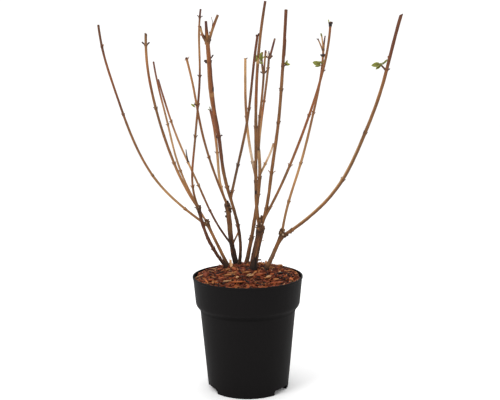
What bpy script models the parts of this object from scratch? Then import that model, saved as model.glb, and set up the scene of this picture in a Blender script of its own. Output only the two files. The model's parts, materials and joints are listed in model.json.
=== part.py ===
"""A panicle hydrangea cut back to its canes, standing in a five-litre nursery pot.

The origin is the middle of the pot's flat underside and +Z is up. The canes spread mostly along X,
and -Y is the shrub's front. Seven stems rise out of a domed bed of potting mix and fork at the
knuckles that yearly pruning leaves. Every limb is a tapering tube swept along a line that is worked
out from its length and from how it leans at a few places along it.
"""

import math
from dataclasses import dataclass

import bmesh
import bpy
import numpy as np
from mathutils import Matrix, Vector

MM = 0.001
GAP = 0.3 * MM  # air left between solids that touch

# --- Pot: a rim band over a tapering body, turned about Z -------------------------------------
POT_HEIGHT = 0.2175
RIM_RADIUS = 0.105
LIP_DEPTH = 0.004
BAND_TOP_RADIUS = 0.1039
BAND_FOOT_RADIUS = 0.0992
BAND_FOOT_Z = 0.163
BODY_TOP_RADIUS = 0.0912
BODY_TOP_Z = 0.1534
BASE_RADIUS = 0.0771
WALL = 1.6 * MM
FLOOR = 2.0 * MM
POT_STEPS = 48

# Drainage channels under the base. They leave three broad feet and end as notches in the wall.
CHANNEL_HEIGHT = 8.5 * MM
CHANNEL_REACH = 0.034  # how near the middle they come
CHANNEL_DRAFT = 0.86  # width of a channel's roof as a share of its foot
CHANNELS = (  # bearing of the middle from the front, and spread at the wall, in degrees
    (55.0, 34.0),
    (-69.0, 43.5),
    (173.0, 36.0),
)
HOLE_RADIUS = 5.0 * MM
HOLE_PLACES = (0.046, 0.063)  # distances of the drain holes from the middle, in each channel

# --- Bed of potting mix: level at the wall and domed round the stems --------------------------
BED_EDGE = POT_HEIGHT - 4.5 * MM
BED_TILT_X = 0.015  # rise for each metre to the right
BED_TILT_Y = -0.03  # rise for each metre to the back
DOME_RISE = 21.2 * MM
DOME_Y = 0.03
DOME_WIDTH = 0.1
DOME_FRONT = 0.12
DOME_BACK = 0.072
BED_RINGS = 9
SEAT_DEPTH = 2.0 * MM  # how far a stem's flat foot lies under the bed's surface
BURIED = 15.0 * MM  # length that is swept below the seat and then cut off flat

# --- Limbs ------------------------------------------------------------------------------------
LINE_STEPS = 48  # steps in which a limb's line is worked out
SPAN = 36.0 * MM  # most that one facet of a limb covers
STEM_SIDES = 8
BOUGH_SIDES = 6
FLARE = 1.3 * MM  # how much a stem's radius grows at its foot
FLARE_LENGTH = 11.0 * MM
KNUCKLE_LENGTH = 9.0 * MM
ROUNDED_END = (0.4, 0.75, 0.95)  # places on a knuckle's round end, as shares of its radius


@dataclass
class Limb:
    """One tapering limb.

    A stem has a foot, its place on the bed. Any other limb has a parent, the share of the parent's
    length at which it leaves, and may be shifted in X and Y there. Leans are degrees from upright:
    sideways ones towards +X and forward ones towards +Y, evenly spaced from the limb's foot to its
    tip. Girths are diameters at the foot and at the tip. A limb with a bend is made as two pieces
    that meet at that share of its length. All lengths are in millimetres.
    """

    name: str
    length: float
    girths: tuple
    sideways: tuple
    forward: tuple
    foot: tuple = None
    parent: str = None
    share: float = 1.0
    shift: tuple = (0.0, 0.0)
    knuckle: float = 0.0
    bend: float = 0.0


STEMS = (
    Limb("left_front_stem", 133, (6.0, 5.7), (-41, -23, -9), (-8, -8), foot=(-39.0, 20), knuckle=9.0),
    Limb("left_back_stem", 93, (5.8, 5.4), (-24, -27, -23), (6, 10), foot=(-38.4, 34), knuckle=8.4),
    Limb("centre_left_stem", 118, (8.6, 8.4), (-17, -9, -5, -8), (12, 8), foot=(-22, 42), knuckle=12.5),
    Limb("front_cane", 463, (5.4, 7.2), (10, -9, -15, -5, -9, -2, -2), (-14, -22, -34), foot=(-16.6, 30),
         bend=0.5),
    Limb("middle_back_stem", 225, (6.9, 6.1), (13, 10, 6, -7), (8, 10), foot=(-2.7, 46), knuckle=7.0),
    Limb("main_stem", 77, (12.9, 12.4), (2, 13, 8), (2, 2), foot=(11.0, -12), knuckle=16.0),
    Limb("right_stem", 70, (7.0, 6.6), (31, 23, 29), (2, 4), foot=(34.1, -4), knuckle=10.5),
)

BOUGHS = (
    Limb("outer_left_bough", 455, (4.2, 4.0), (-55, -46, -28, -19, -17, -6), (0, 6),
         parent="left_back_stem", share=0.92, bend=0.36),
    Limb("left_back_bough", 363, (4.1, 3.9), (-34, -26, -15, -16, -11), (20, 24),
         parent="left_back_stem", bend=0.5),
    Limb("left_front_bough", 347, (4.7, 4.0), (-33, -21, -14, -7, 6), (-10, -22),
         parent="left_front_stem", shift=(0, -2.4), bend=0.45),
    Limb("left_tall_bough", 369, (4.0, 3.4), (-23, 4, 6, 5, -1, 8), (-4, -4),
         parent="left_front_stem", shift=(0, 2.4), bend=0.4),
    Limb("left_rear_bough", 402, (4.1, 3.8), (-41, -26, -27, -21, -19), (18, 34),
         parent="centre_left_stem", share=0.33, bend=0.45),
    Limb("centre_left_bough", 296, (4.1, 3.8), (-23, -17, -9, -14), (0, -8),
         parent="centre_left_stem", shift=(0, -2.4)),
    Limb("centre_short_bough", 212, (4.9, 4.7), (-28, -6, -8, -15), (26, 30),
         parent="centre_left_stem", shift=(0, 2.8)),
    Limb("front_cane_fork", 310, (4.5, 3.8), (12, 13, 6, 9), (-4, -22), parent="front_cane", share=0.31),
    Limb("middle_back_bough", 155, (4.8, 4.5), (-2, 7, 3), (8, 14),
         parent="middle_back_stem", shift=(0, -1.8)),
    Limb("middle_rear_bough", 216, (4.1, 4.2), (5, 9, 5), (28, 32),
         parent="middle_back_stem", shift=(0, 2.4)),
    Limb("middle_side_bough", 73, (3.5, 3.2), (27, 27, 18), (20, 30),
         parent="middle_back_stem", share=0.78),
    Limb("tall_bough", 425, (6.4, 4.8), (-11, 0, 0, 2, 6, 10), (2, 4), parent="main_stem", bend=0.5),
    Limb("pale_rear_bough", 257, (4.3, 4.2), (-14, -7, -1, 1), (26, 34), parent="tall_bough", share=0.24),
    Limb("right_centre_bough", 415, (5.5, 4.6), (19, 7, 8, 4, 3, 2), (-12, -20),
         parent="main_stem", bend=0.5),
    Limb("right_front_bough", 401, (4.3, 3.2), (28, 22, 18, 13, 0), (-16, -30),
         parent="right_centre_bough", share=0.055, bend=0.5),
    Limb("right_rear_bough", 409, (4.4, 4.1), (9, 20, 16, 14, 5), (22, 30), parent="right_stem", bend=0.5),
    Limb("outer_right_bough", 483, (5.9, 5.4), (59, 45, 26, 21, 14, 16), (0, 4),
         parent="right_stem", bend=0.33),
)

TWIGS = (
    Limb("front_cane_left_twig", 28, (3.6, 2.8), (-40, -32, -14, -11), (-26, -22), parent="front_cane",
         share=0.985, shift=(-1.4, 0)),
    Limb("front_cane_middle_twig", 31, (4.4, 4.0), (-2, -3), (-20, -14), parent="front_cane",
         shift=(-0.2, 1.2)),
    Limb("front_cane_right_twig", 48.8, (4.2, 4.0), (18, 25), (-20, -20), parent="front_cane",
         share=0.99, shift=(1.5, -0.6)),
    Limb("middle_back_left_twig", 44, (3.8, 2.6), (-11, 8), (20, 22), parent="middle_back_bough",
         share=0.99, shift=(-0.8, 0.6)),
    Limb("middle_back_right_twig", 44.5, (3.6, 3.2), (3, 6), (4, 6), parent="middle_back_bough",
         share=0.99, shift=(0.7, -0.6)),
    Limb("middle_rear_twig", 44, (4.4, 3.8), (17, 15), (24, 20), parent="middle_rear_bough",
         share=0.985, shift=(1.5, 0)),
    Limb("right_rear_left_twig", 31, (3.0, 2.5), (-20, -20), (34, 30), parent="right_rear_bough",
         share=0.99, shift=(-0.9, 0.3)),
    Limb("right_rear_middle_twig", 32, (3.0, 2.8), (-2, -6), (24, 18), parent="right_rear_bough",
         share=0.99, shift=(0, -0.9)),
    Limb("right_rear_right_twig", 35.5, (3.2, 2.9), (7, 11), (32, 28), parent="right_rear_bough",
         share=0.99, shift=(0.9, 0.4)),
)

# --- Tufts of young leaves --------------------------------------------------------------------
TUFT_UNEVEN = 0.14  # how far a tuft's surface strays from a plain ellipsoid


@dataclass
class Tuft:
    """A pair or two of half-open leaves: its limb, share along it, and size and offset in mm."""

    name: str
    limb: str
    share: float
    size: tuple
    offset: tuple = (0.0, 0.0, 0.0)


TUFTS = (
    Tuft("tall_bough_leaves", "tall_bough", 0.735, (27, 16, 20), (0, 0, 4)),
    Tuft("right_centre_leaves", "right_centre_bough", 0.775, (17, 14, 15), (4, 0, 2)),
    Tuft("right_rear_leaves", "right_rear_bough", 0.915, (22, 16, 15), (-6, 0, 2)),
    Tuft("outer_right_leaves", "outer_right_bough", 0.79, (25, 16, 17), (-9, 0, 3)),
    Tuft("left_tall_leaves", "left_tall_bough", 0.535, (15, 12, 11), (-6, 0, 1)),
    Tuft("centre_short_leaves", "centre_short_bough", 1.0, (10, 9, 12), (0, 0, 1)),
    Tuft("right_front_leaves", "right_front_bough", 1.0, (10, 9, 12), (-1, 0, 1)),
)

# --- Finishes: base colour, roughness ---------------------------------------------------------
FINISHES = {
    "pot": ((0.012, 0.012, 0.013), 0.55),
    "bed": ((0.115, 0.040, 0.020), 0.90),
    "old_bark": ((0.085, 0.045, 0.030), 0.85),
    "young_bark": ((0.230, 0.115, 0.055), 0.65),
    "leaf": ((0.180, 0.190, 0.050), 0.60),
}

materials = {}
parts = None
cutters = None


# --- Scene ------------------------------------------------------------------------------------
def clear_scene():
    """Empties the startup scene, and makes one collection for the shrub and one for its cutters."""
    global parts, cutters
    for found in list(bpy.data.objects):
        bpy.data.objects.remove(found)
    parts = bpy.data.collections.new("potted_hydrangea")
    cutters = bpy.data.collections.new("cutters")
    for collection in (parts, cutters):
        bpy.context.scene.collection.children.link(collection)


def make_materials():
    for name, (colour, roughness) in FINISHES.items():
        material = bpy.data.materials.new(name)
        material.use_nodes = True
        shader = material.node_tree.nodes["Principled BSDF"]
        shader.inputs["Base Color"].default_value = (*colour, 1.0)
        shader.inputs["Roughness"].default_value = roughness
        shader.inputs["Metallic"].default_value = 0.0
        materials[name] = material


def new_object(name, data, finish=None):
    """Links an object as a part of the shrub, or as a hidden cutter if it has no finish."""
    made = bpy.data.objects.new(name, data)
    if finish:
        parts.objects.link(made)
        data.materials.append(materials[finish])
    else:
        cutters.objects.link(made)
        made.hide_render = True
        made.display_type = "WIRE"
    return made


def object_from_bmesh(name, mesh, finish=None):
    data = bpy.data.meshes.new(name)
    bmesh.ops.recalc_face_normals(mesh, faces=mesh.faces)
    mesh.to_mesh(data)
    mesh.free()
    return new_object(name, data, finish)


def applied(source):
    """The evaluated mesh of an object as a bmesh with its caps welded. The object is removed."""
    graph = bpy.context.evaluated_depsgraph_get()
    data = bpy.data.meshes.new_from_object(source.evaluated_get(graph))
    mesh = bmesh.new()
    mesh.from_mesh(data)
    bmesh.ops.remove_doubles(mesh, verts=mesh.verts, dist=0.005 * MM)
    bpy.data.objects.remove(source)
    bpy.data.meshes.remove(data)
    return mesh


def cut(target, cutter):
    """Takes the cutter's shape out of the target."""
    boolean = target.modifiers.new("cut by " + cutter.name, "BOOLEAN")
    boolean.operation = "DIFFERENCE"
    boolean.solver = "EXACT"
    boolean.object = cutter


def cut_clear(target, clearance):
    for cutter in clearance:
        cut(target, cutter)


def turned(name, profile, steps, finish=None):
    """A solid turned about Z from (radius, height) points that run down its outer side."""
    mesh = bmesh.new()
    corners = [mesh.verts.new((radius, 0.0, height)) for radius, height in profile]
    for upper, lower in zip(corners, corners[1:]):
        mesh.edges.new((upper, lower))
    data = bpy.data.meshes.new(name)
    mesh.to_mesh(data)
    mesh.free()
    made = new_object(name, data, finish)
    screw = made.modifiers.new("turn", "SCREW")
    screw.steps = steps
    screw.render_steps = steps
    screw.use_merge_vertices = True
    screw.merge_threshold = 0.00005
    return made


# --- Pot --------------------------------------------------------------------------------------
def cavity_wall(shrink):
    """The inside of the pot from its mouth down, drawn in by shrink all round."""
    inset = WALL + shrink
    return [
        (BAND_TOP_RADIUS - inset, POT_HEIGHT),
        (BAND_FOOT_RADIUS - inset, BAND_FOOT_Z),
        (BODY_TOP_RADIUS - inset, BODY_TOP_Z),
        (BASE_RADIUS - inset, FLOOR + shrink),
        (0.0, FLOOR + shrink),
    ]


def channel(name, bearing, spread, grow):
    """One drainage channel as a hidden block, wider and higher all round by grow."""
    width = 2 * BASE_RADIUS * math.sin(math.radians(spread) / 2) + 2 * grow
    inner = CHANNEL_REACH - grow
    bottom = -CHANNEL_HEIGHT
    top = CHANNEL_HEIGHT + grow
    mesh = bmesh.new()
    bmesh.ops.create_cube(mesh, size=1.0)
    bmesh.ops.scale(mesh, vec=(width, RIM_RADIUS - inner, top - bottom), verts=mesh.verts)
    middle = Vector((0.0, (RIM_RADIUS + inner) / 2, (top + bottom) / 2))
    bmesh.ops.translate(mesh, vec=middle, verts=mesh.verts)
    roof = [vert for vert in mesh.verts if vert.co.z > middle.z]
    bmesh.ops.scale(mesh, vec=(CHANNEL_DRAFT, 1.0, 1.0), verts=roof)
    turn = Matrix.Rotation(math.radians(bearing + 180.0), 3, "Z")
    bmesh.ops.rotate(mesh, matrix=turn, cent=(0.0, 0.0, 0.0), verts=mesh.verts)
    return object_from_bmesh(name, mesh)


def drain_hole(name, bearing, distance):
    """A hole through a channel's roof."""
    mesh = bmesh.new()
    bmesh.ops.create_cone(mesh, cap_ends=True, segments=12, radius1=HOLE_RADIUS, radius2=HOLE_RADIUS,
                          depth=3 * CHANNEL_HEIGHT)
    angle = math.radians(bearing)
    place = Vector((distance * math.sin(angle), -distance * math.cos(angle), CHANNEL_HEIGHT))
    bmesh.ops.translate(mesh, vec=place, verts=mesh.verts)
    return object_from_bmesh(name, mesh)


def build_pot():
    outside = [
        (0.0, POT_HEIGHT),
        (RIM_RADIUS, POT_HEIGHT),
        (RIM_RADIUS, POT_HEIGHT - LIP_DEPTH),
        (BAND_TOP_RADIUS, POT_HEIGHT - LIP_DEPTH),
        (BAND_FOOT_RADIUS, BAND_FOOT_Z),
        (BODY_TOP_RADIUS, BODY_TOP_Z),
        (BASE_RADIUS, 0.0),
        (0.0, 0.0),
    ]
    pot = turned("pot", outside, POT_STEPS, "pot")
    wall = cavity_wall(0.0)
    above = 2 * POT_HEIGHT
    cavity = turned("pot_cavity", [(0.0, above), (wall[0][0], above)] + wall, POT_STEPS)
    for number, (bearing, spread) in enumerate(CHANNELS):
        cut(cavity, channel(f"housing_{number}", bearing, spread, WALL))
    cut(pot, cavity)
    for number, (bearing, spread) in enumerate(CHANNELS):
        cut(pot, channel(f"channel_{number}", bearing, spread, 0.0))
        for place, distance in enumerate(HOLE_PLACES):
            cut(pot, drain_hole(f"drain_{number}_{place}", bearing, distance))


# --- Bed --------------------------------------------------------------------------------------
def bed_height(x, y):
    """Height of the potting mix at a place in the pot."""
    edge = BED_EDGE + BED_TILT_X * x + BED_TILT_Y * y
    depth = DOME_FRONT if y < DOME_Y else DOME_BACK
    away = (x / DOME_WIDTH) ** 2 + ((y - DOME_Y) / depth) ** 2
    return edge + DOME_RISE * max(0.0, 1.0 - away)


def build_bed(stem_clearances):
    """The mix fills the pot. Its top is laid over bed_height, and the stems' feet stand in it."""
    wall = cavity_wall(GAP)
    reach = wall[0][0]
    top = [(reach * ring / BED_RINGS, POT_HEIGHT) for ring in range(BED_RINGS)]
    plain = turned("potting_mix_blank", top + wall, POT_STEPS)
    mesh = applied(plain)
    draft = (wall[0][0] - wall[1][0]) / (wall[0][1] - wall[1][1])
    for vert in mesh.verts:
        if vert.co.z > BED_EDGE:
            x, y = vert.co.xy
            height = bed_height(x, y)
            narrowing = 1.0 - draft * (POT_HEIGHT - height) / reach
            vert.co = (x * narrowing, y * narrowing, height)
    bed = object_from_bmesh("potting_mix", mesh, "bed")
    for number, (bearing, spread) in enumerate(CHANNELS):
        cut(bed, channel(f"bed_housing_{number}", bearing, spread, WALL + GAP))
    for clearance in stem_clearances:
        cut_clear(bed, clearance)


# --- Limbs ------------------------------------------------------------------------------------
def eased(values, share):
    """A smooth curve through evenly spaced values, read at a share of the way from first to last."""
    values = np.array(values, float)
    slopes = np.gradient(values)
    place = share * (len(values) - 1)
    left = min(int(place), len(values) - 2)
    t = place - left
    return float(
        (2 * t**3 - 3 * t**2 + 1) * values[left]
        + (t**3 - 2 * t**2 + t) * slopes[left]
        + (3 * t**2 - 2 * t**3) * values[left + 1]
        + (t**3 - t**2) * slopes[left + 1]
    )


def heading(limb, share):
    """Unit direction of the limb at a share of its length."""
    sideways = math.radians(eased(limb.sideways, share))
    forward = math.radians(eased(limb.forward, share))
    return Vector((
        math.sin(sideways) * math.cos(forward),
        math.sin(forward),
        math.cos(sideways) * math.cos(forward),
    ))


def start_of(limb, lines):
    if limb.parent:
        return point_on(lines[limb.parent], limb.share) + Vector((*limb.shift, 0.0)) * MM
    x, y = (MM * value for value in limb.foot)
    return Vector((x, y, bed_height(x, y) - SEAT_DEPTH))


def line_of(limb, lines):
    """The limb's centre line as points at even distances."""
    step = limb.length * MM / LINE_STEPS
    points = [start_of(limb, lines)]
    for number in range(LINE_STEPS):
        points.append(points[-1] + step * heading(limb, (number + 0.5) / LINE_STEPS))
    return points


def point_on(line, share):
    place = share * (len(line) - 1)
    left = min(int(place), len(line) - 2)
    return line[left].lerp(line[left + 1], place - left)


def radius_of(limb, share):
    """Radius at a share of the length, with a stem's flared foot and its pruned knuckle."""
    foot, tip = (girth * MM / 2 for girth in limb.girths)
    radius = foot + (tip - foot) * share
    along = max(0.0, share) * limb.length * MM
    if not limb.parent:
        radius += FLARE * math.exp(-along / FLARE_LENGTH)
    if limb.knuckle:
        below = limb.length * MM - along
        radius += (limb.knuckle * MM / 2 - tip) * math.exp(-((below / KNUCKLE_LENGTH) ** 2))
    return radius


def sweep(name, points, radii, sides):
    """A closed tube along the points as a bmesh."""
    curve = bpy.data.curves.new(name, "CURVE")
    curve.dimensions = "3D"
    curve.bevel_depth = MM
    curve.bevel_resolution = (sides - 4) // 2
    curve.use_fill_caps = True
    spline = curve.splines.new("POLY")
    spline.points.add(len(points) - 1)
    for knot, point, radius in zip(spline.points, points, radii):
        knot.co = (*point, 1.0)
        knot.radius = radius / MM
    return applied(new_object(name, curve))


def stations(limb, begin, end):
    """Evenly spaced shares of the limb's length at which its solid has a ring of corners."""
    count = max(2, math.ceil((end - begin) * limb.length * MM / SPAN)) + (2 if limb.knuckle else 0)
    return [begin + (end - begin) * number / count for number in range(count + 1)]


def pieces_of(limb):
    """The names and stations of the one or two pieces that a limb is made in."""
    if not limb.bend:
        return {limb.name: stations(limb, 0.0, 1.0)}
    return {
        limb.name + "_lower": stations(limb, 0.0, limb.bend),
        limb.name + "_upper": stations(limb, limb.bend + GAP / (limb.length * MM), 1.0),
    }


def limb_solid(name, limb, line, shares, grow, finish=None):
    """The limb through some of its stations, larger all round by grow, as a part or as a cutter."""
    points = [point_on(line, share) for share in shares]
    radii = [radius_of(limb, share) + grow for share in shares]
    ahead = heading(limb, shares[-1])
    if limb.knuckle:
        tip_radius = radii[-1]
        for place in ROUNDED_END:
            points.append(line[-1] + place * tip_radius * ahead)
            radii.append(tip_radius * math.sqrt(1.0 - place**2))
    else:
        points[-1] += grow * ahead
    on_bed = not limb.parent and shares[0] == 0.0
    if on_bed:
        points.insert(0, line[0] - BURIED * heading(limb, 0.0))
        radii.insert(0, radii[0])
    else:
        points[0] -= grow * heading(limb, shares[0])
    mesh = sweep(name, points, radii, BOUGH_SIDES if limb.parent else STEM_SIDES)
    if on_bed:
        flat_foot(mesh, line[0].z - grow)
    return object_from_bmesh(name, mesh, finish)


def flat_foot(mesh, height):
    """Cuts everything below a level plane off, and closes the cut."""
    everything = mesh.verts[:] + mesh.edges[:] + mesh.faces[:]
    bmesh.ops.bisect_plane(mesh, geom=everything, plane_co=(0.0, 0.0, height), plane_no=(0.0, 0.0, 1.0),
                           clear_inner=True)
    rim = [edge for edge in mesh.edges if edge.is_boundary]
    bmesh.ops.holes_fill(mesh, edges=rim)


def same_knuckle(limb, other):
    """Whether two limbs leave the same parent so close together that they may touch."""
    return limb.parent == other.parent and abs(limb.share - other.share) < 0.1


def build_limbs():
    """Makes every limb, cut clear of its parent and of the limbs before it on the same knuckle."""
    lines = {}
    swollen = {}
    made = []
    for limb in STEMS + BOUGHS + TWIGS:
        line = line_of(limb, lines)
        lines[limb.name] = line
        finish = "young_bark" if limb.parent else "old_bark"
        clearance = []
        for number, (name, shares) in enumerate(pieces_of(limb).items()):
            piece = limb_solid(name, limb, line, shares, 0.0, finish)
            clearance.append(limb_solid(name + "_clearance", limb, line, shares, GAP))
            if limb.parent and number == 0:
                cut_clear(piece, swollen[limb.parent])
                for other in made:
                    if same_knuckle(limb, other):
                        cut_clear(piece, swollen[other.name])
        swollen[limb.name] = clearance
        made.append(limb)
    return lines, swollen


# --- Tufts ------------------------------------------------------------------------------------
def build_tuft(tuft, lines, swollen):
    """An uneven ellipsoid round the place where the leaves sit, cut clear of the limb."""
    mesh = bmesh.new()
    bmesh.ops.create_icosphere(mesh, subdivisions=2, radius=0.5)
    for vert in mesh.verts:
        wave = math.sin(7.0 * vert.co.x + 3.0) * math.cos(9.0 * vert.co.z) + math.sin(11.0 * vert.co.y)
        vert.co *= 1.0 + TUFT_UNEVEN * wave / 2
    bmesh.ops.scale(mesh, vec=Vector(tuft.size) * MM, verts=mesh.verts)
    place = point_on(lines[tuft.limb], tuft.share) + Vector(tuft.offset) * MM
    bmesh.ops.translate(mesh, vec=place, verts=mesh.verts)
    made = object_from_bmesh(tuft.name, mesh, "leaf")
    cut_clear(made, swollen[tuft.limb])


def main():
    clear_scene()
    make_materials()
    build_pot()
    lines, swollen = build_limbs()
    build_bed([swollen[stem.name] for stem in STEMS])
    for tuft in TUFTS:
        build_tuft(tuft, lines, swollen)


main()
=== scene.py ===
"""Looks of the potted hydrangea: barked canes, pruned knuckles, buds, young leaves, pot and mulch.

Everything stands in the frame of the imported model, in metres, with +Z up and the shrub's front
towards -Y. Each cane follows the same line as the solid that it stands for.
"""

import json
import logging
import math
import random
from dataclasses import dataclass, field
from enum import Enum
from itertools import product
from typing import Any, Iterable, Optional, Sequence

import bmesh
import bpy
import numpy as np
from mathutils import Matrix, Vector

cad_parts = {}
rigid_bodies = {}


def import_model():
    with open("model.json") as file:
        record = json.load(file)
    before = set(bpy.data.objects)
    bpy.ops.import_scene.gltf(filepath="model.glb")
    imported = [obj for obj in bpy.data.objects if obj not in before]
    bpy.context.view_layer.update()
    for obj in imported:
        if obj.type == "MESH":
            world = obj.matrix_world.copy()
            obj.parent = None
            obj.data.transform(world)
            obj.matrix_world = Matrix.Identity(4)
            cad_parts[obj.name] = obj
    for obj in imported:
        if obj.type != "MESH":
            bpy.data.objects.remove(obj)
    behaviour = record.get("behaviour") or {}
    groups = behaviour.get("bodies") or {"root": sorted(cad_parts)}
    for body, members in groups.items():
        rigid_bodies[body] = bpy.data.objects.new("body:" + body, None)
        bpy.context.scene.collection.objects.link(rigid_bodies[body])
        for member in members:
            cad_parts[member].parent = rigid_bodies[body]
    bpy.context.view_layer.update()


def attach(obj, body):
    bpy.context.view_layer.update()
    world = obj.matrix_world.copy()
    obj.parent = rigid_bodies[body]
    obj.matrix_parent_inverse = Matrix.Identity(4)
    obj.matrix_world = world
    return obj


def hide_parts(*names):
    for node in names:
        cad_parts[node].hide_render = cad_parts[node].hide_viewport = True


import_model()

log = logging.getLogger("hydrangea")
MM = 0.001
TURN = 2.0 * math.pi

Colour = tuple[float, float, float]
Numbers = tuple[float, ...]
Span = tuple[float, float]  # from the least to the most


def shade(red: float, green: float, blue: float) -> Colour:
    """A colour as linear light, from how it is told on a screen in steps of 0 to 255."""
    return tuple((value / 255.0) ** 2.2 for value in (red, green, blue))


class Slot(Enum):
    """The finishes that the record names."""

    POT = "pot"
    MULCH = "mulch"
    OLD_BARK = "old_bark"
    YOUNG_BARK = "young_bark"
    LEAF = "leaf"


class Coat(Enum):
    """Colours of bark and wood, from wet old wood to the palest shoots."""

    SOOT = shade(28, 20, 15)
    UMBER = shade(54, 36, 24)
    BROWN = shade(84, 57, 36)
    CHESTNUT = shade(90, 52, 31)
    RUSSET = shade(122, 71, 37)
    HAZEL = shade(113, 76, 44)
    FAWN = shade(138, 97, 59)
    STRAW = shade(160, 122, 81)
    PLUM = shade(84, 50, 42)
    INK = shade(42, 28, 25)
    ASH = shade(114, 90, 70)
    BONE = shade(194, 170, 142)


SOOT, UMBER, BROWN, CHESTNUT, RUSSET, HAZEL, FAWN, STRAW, PLUM, INK, ASH, BONE = Coat


# --- Placing and naming ---
def fit(piece: bpy.types.Object, slot: Slot, *nodes: str) -> bpy.types.Object:
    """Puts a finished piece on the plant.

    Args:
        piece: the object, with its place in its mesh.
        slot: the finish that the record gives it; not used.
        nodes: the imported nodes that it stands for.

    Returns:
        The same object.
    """
    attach(piece, "root")
    if nodes:
        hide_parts(*nodes)
    log.info("%-26s %7d faces", piece.name, len(piece.data.polygons))
    return piece


def stand(name: str, data: bpy.types.ID) -> bpy.types.Object:
    """A new object in the scene."""
    made = bpy.data.objects.new(name, data)
    bpy.context.scene.collection.objects.link(made)
    return made


def piece_of(name: str, mesh: bpy.types.Mesh, finish: bpy.types.Material) -> bpy.types.Object:
    """An object in the scene that shows a mesh in one finish."""
    mesh.materials.clear()
    mesh.materials.append(finish)
    return stand(name, mesh)


def mesh_of(name: str, form: bmesh.types.BMesh) -> bpy.types.Mesh:
    """The mesh that a bmesh holds. The bmesh is freed."""
    mesh = bpy.data.meshes.new(name)
    form.to_mesh(mesh)
    form.free()
    return mesh


def cast(name: str, form: bmesh.types.BMesh, finish: bpy.types.Material) -> bpy.types.Object:
    """An object in the scene that shows what a bmesh holds. The bmesh is freed."""
    return piece_of(name, mesh_of(name, form), finish)


def finished_mesh(piece: bpy.types.Object) -> bpy.types.Mesh:
    """A new mesh of a piece as its modifiers leave it."""
    graph = bpy.context.evaluated_depsgraph_get()
    return bpy.data.meshes.new_from_object(piece.evaluated_get(graph))


def face_out(form: bmesh.types.BMesh) -> None:
    """Turns all the faces outwards."""
    bmesh.ops.recalc_face_normals(form, faces=form.faces)


def edges_along(form: bmesh.types.BMesh, axis: int) -> list[bmesh.types.BMEdge]:
    """The edges of a shape of unit size that run along an axis: 0 is X, 1 is Y and 2 is Z."""
    return [edge for edge in form.edges if abs(edge.verts[0].co[axis] - edge.verts[1].co[axis]) > 0.5]


def turn_of(degrees: float, axis: str) -> Matrix:
    """A turn about an axis through the origin."""
    return Matrix.Rotation(math.radians(degrees), 4, axis)


def on_circle(reach: np.ndarray, angle: np.ndarray, height: np.ndarray) -> np.ndarray:
    """Places at distances from Z, angles round it and heights, one row each."""
    return np.column_stack([reach * np.cos(angle), reach * np.sin(angle), height])


def around(angle: np.ndarray, middle: float) -> np.ndarray:
    """How far each angle lies from a middle one, the shorter way round, in radians."""
    return (angle - middle + math.pi) % TURN - math.pi


def points_of(mesh: bpy.types.Mesh) -> np.ndarray:
    """The places of a mesh's vertices, one row each."""
    places = np.empty(len(mesh.vertices) * 3, np.float32)
    mesh.vertices.foreach_get("co", places)
    return places.reshape(-1, 3).astype(float)


def set_points(mesh: bpy.types.Mesh, places: np.ndarray) -> None:
    """Moves a mesh's vertices."""
    mesh.vertices.foreach_set("co", places.astype(np.float32).ravel())
    mesh.update()


def give(mesh: bpy.types.Mesh, name: str, values: np.ndarray) -> None:
    """Writes an attribute on the vertices: numbers, vectors in three columns or colours in four."""
    kinds = {1: ("FLOAT", "value"), 3: ("FLOAT_VECTOR", "vector"), 4: ("FLOAT_COLOR", "color")}
    kind, key = kinds[values.shape[1] if values.ndim > 1 else 1]
    made = mesh.attributes.new(name, kind, "POINT")
    made.data.foreach_set(key, values.astype(np.float32).ravel())


def with_alpha(colours: np.ndarray) -> np.ndarray:
    """The same colours with a fourth column of ones."""
    return np.column_stack([colours, np.ones(len(colours))])


def towards(colours: np.ndarray, coat: Coat, amount: np.ndarray) -> None:
    """Shifts rows of colour towards a coat, by amounts that are kept between 0 and 1."""
    colours += (np.array(coat.value) - colours) * np.clip(amount, 0.0, 1.0)[:, None]


# --- Uneven values ---
@dataclass(frozen=True)
class Grain:
    """Smooth uneven values between -1 and 1 that fill space, the same at every run."""

    seed: int = 1

    def at_corners(self, cells: np.ndarray) -> np.ndarray:
        """The value at each whole-numbered place."""
        mixed = cells[:, 0] * 374761393 + cells[:, 1] * 668265263 + cells[:, 2] * 1440662683
        mixed = mixed + self.seed * 974634777
        mixed = (mixed ^ (mixed >> 13)) * 1274126177
        mixed = mixed ^ (mixed >> 16)
        return (mixed & 0xFFFF) / 32767.5 - 1.0

    def at(self, places: np.ndarray, wide: float, tall: float) -> np.ndarray:
        """Reads the values.

        Args:
            places: one place a row.
            wide: how far apart the ups and downs lie along X and Y, in millimetres.
            tall: how far apart they lie along Z, in millimetres.

        Returns:
            One value for each place.
        """
        scaled = places / (np.array([wide, wide, tall]) * MM)
        cells = np.floor(scaled).astype(np.int64)
        part = scaled - cells
        part = part * part * (3.0 - 2.0 * part)
        total = np.zeros(len(places))
        for corner in product((0, 1), repeat=3):
            share = np.prod(np.where(np.array(corner) == 1, part, 1.0 - part), axis=1)
            total += share * self.at_corners(cells + np.array(corner))
        return total


def hump(away: np.ndarray) -> np.ndarray:
    """A bell of height 1 that falls off as away grows past 1."""
    return np.exp(-(away**2))


def between(values: np.ndarray, low: float, high: float) -> np.ndarray:
    """0 below low, 1 above high and a smooth rise from one to the other."""
    part = np.clip((values - low) / (high - low), 0.0, 1.0)
    return part * part * (3.0 - 2.0 * part)


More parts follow.
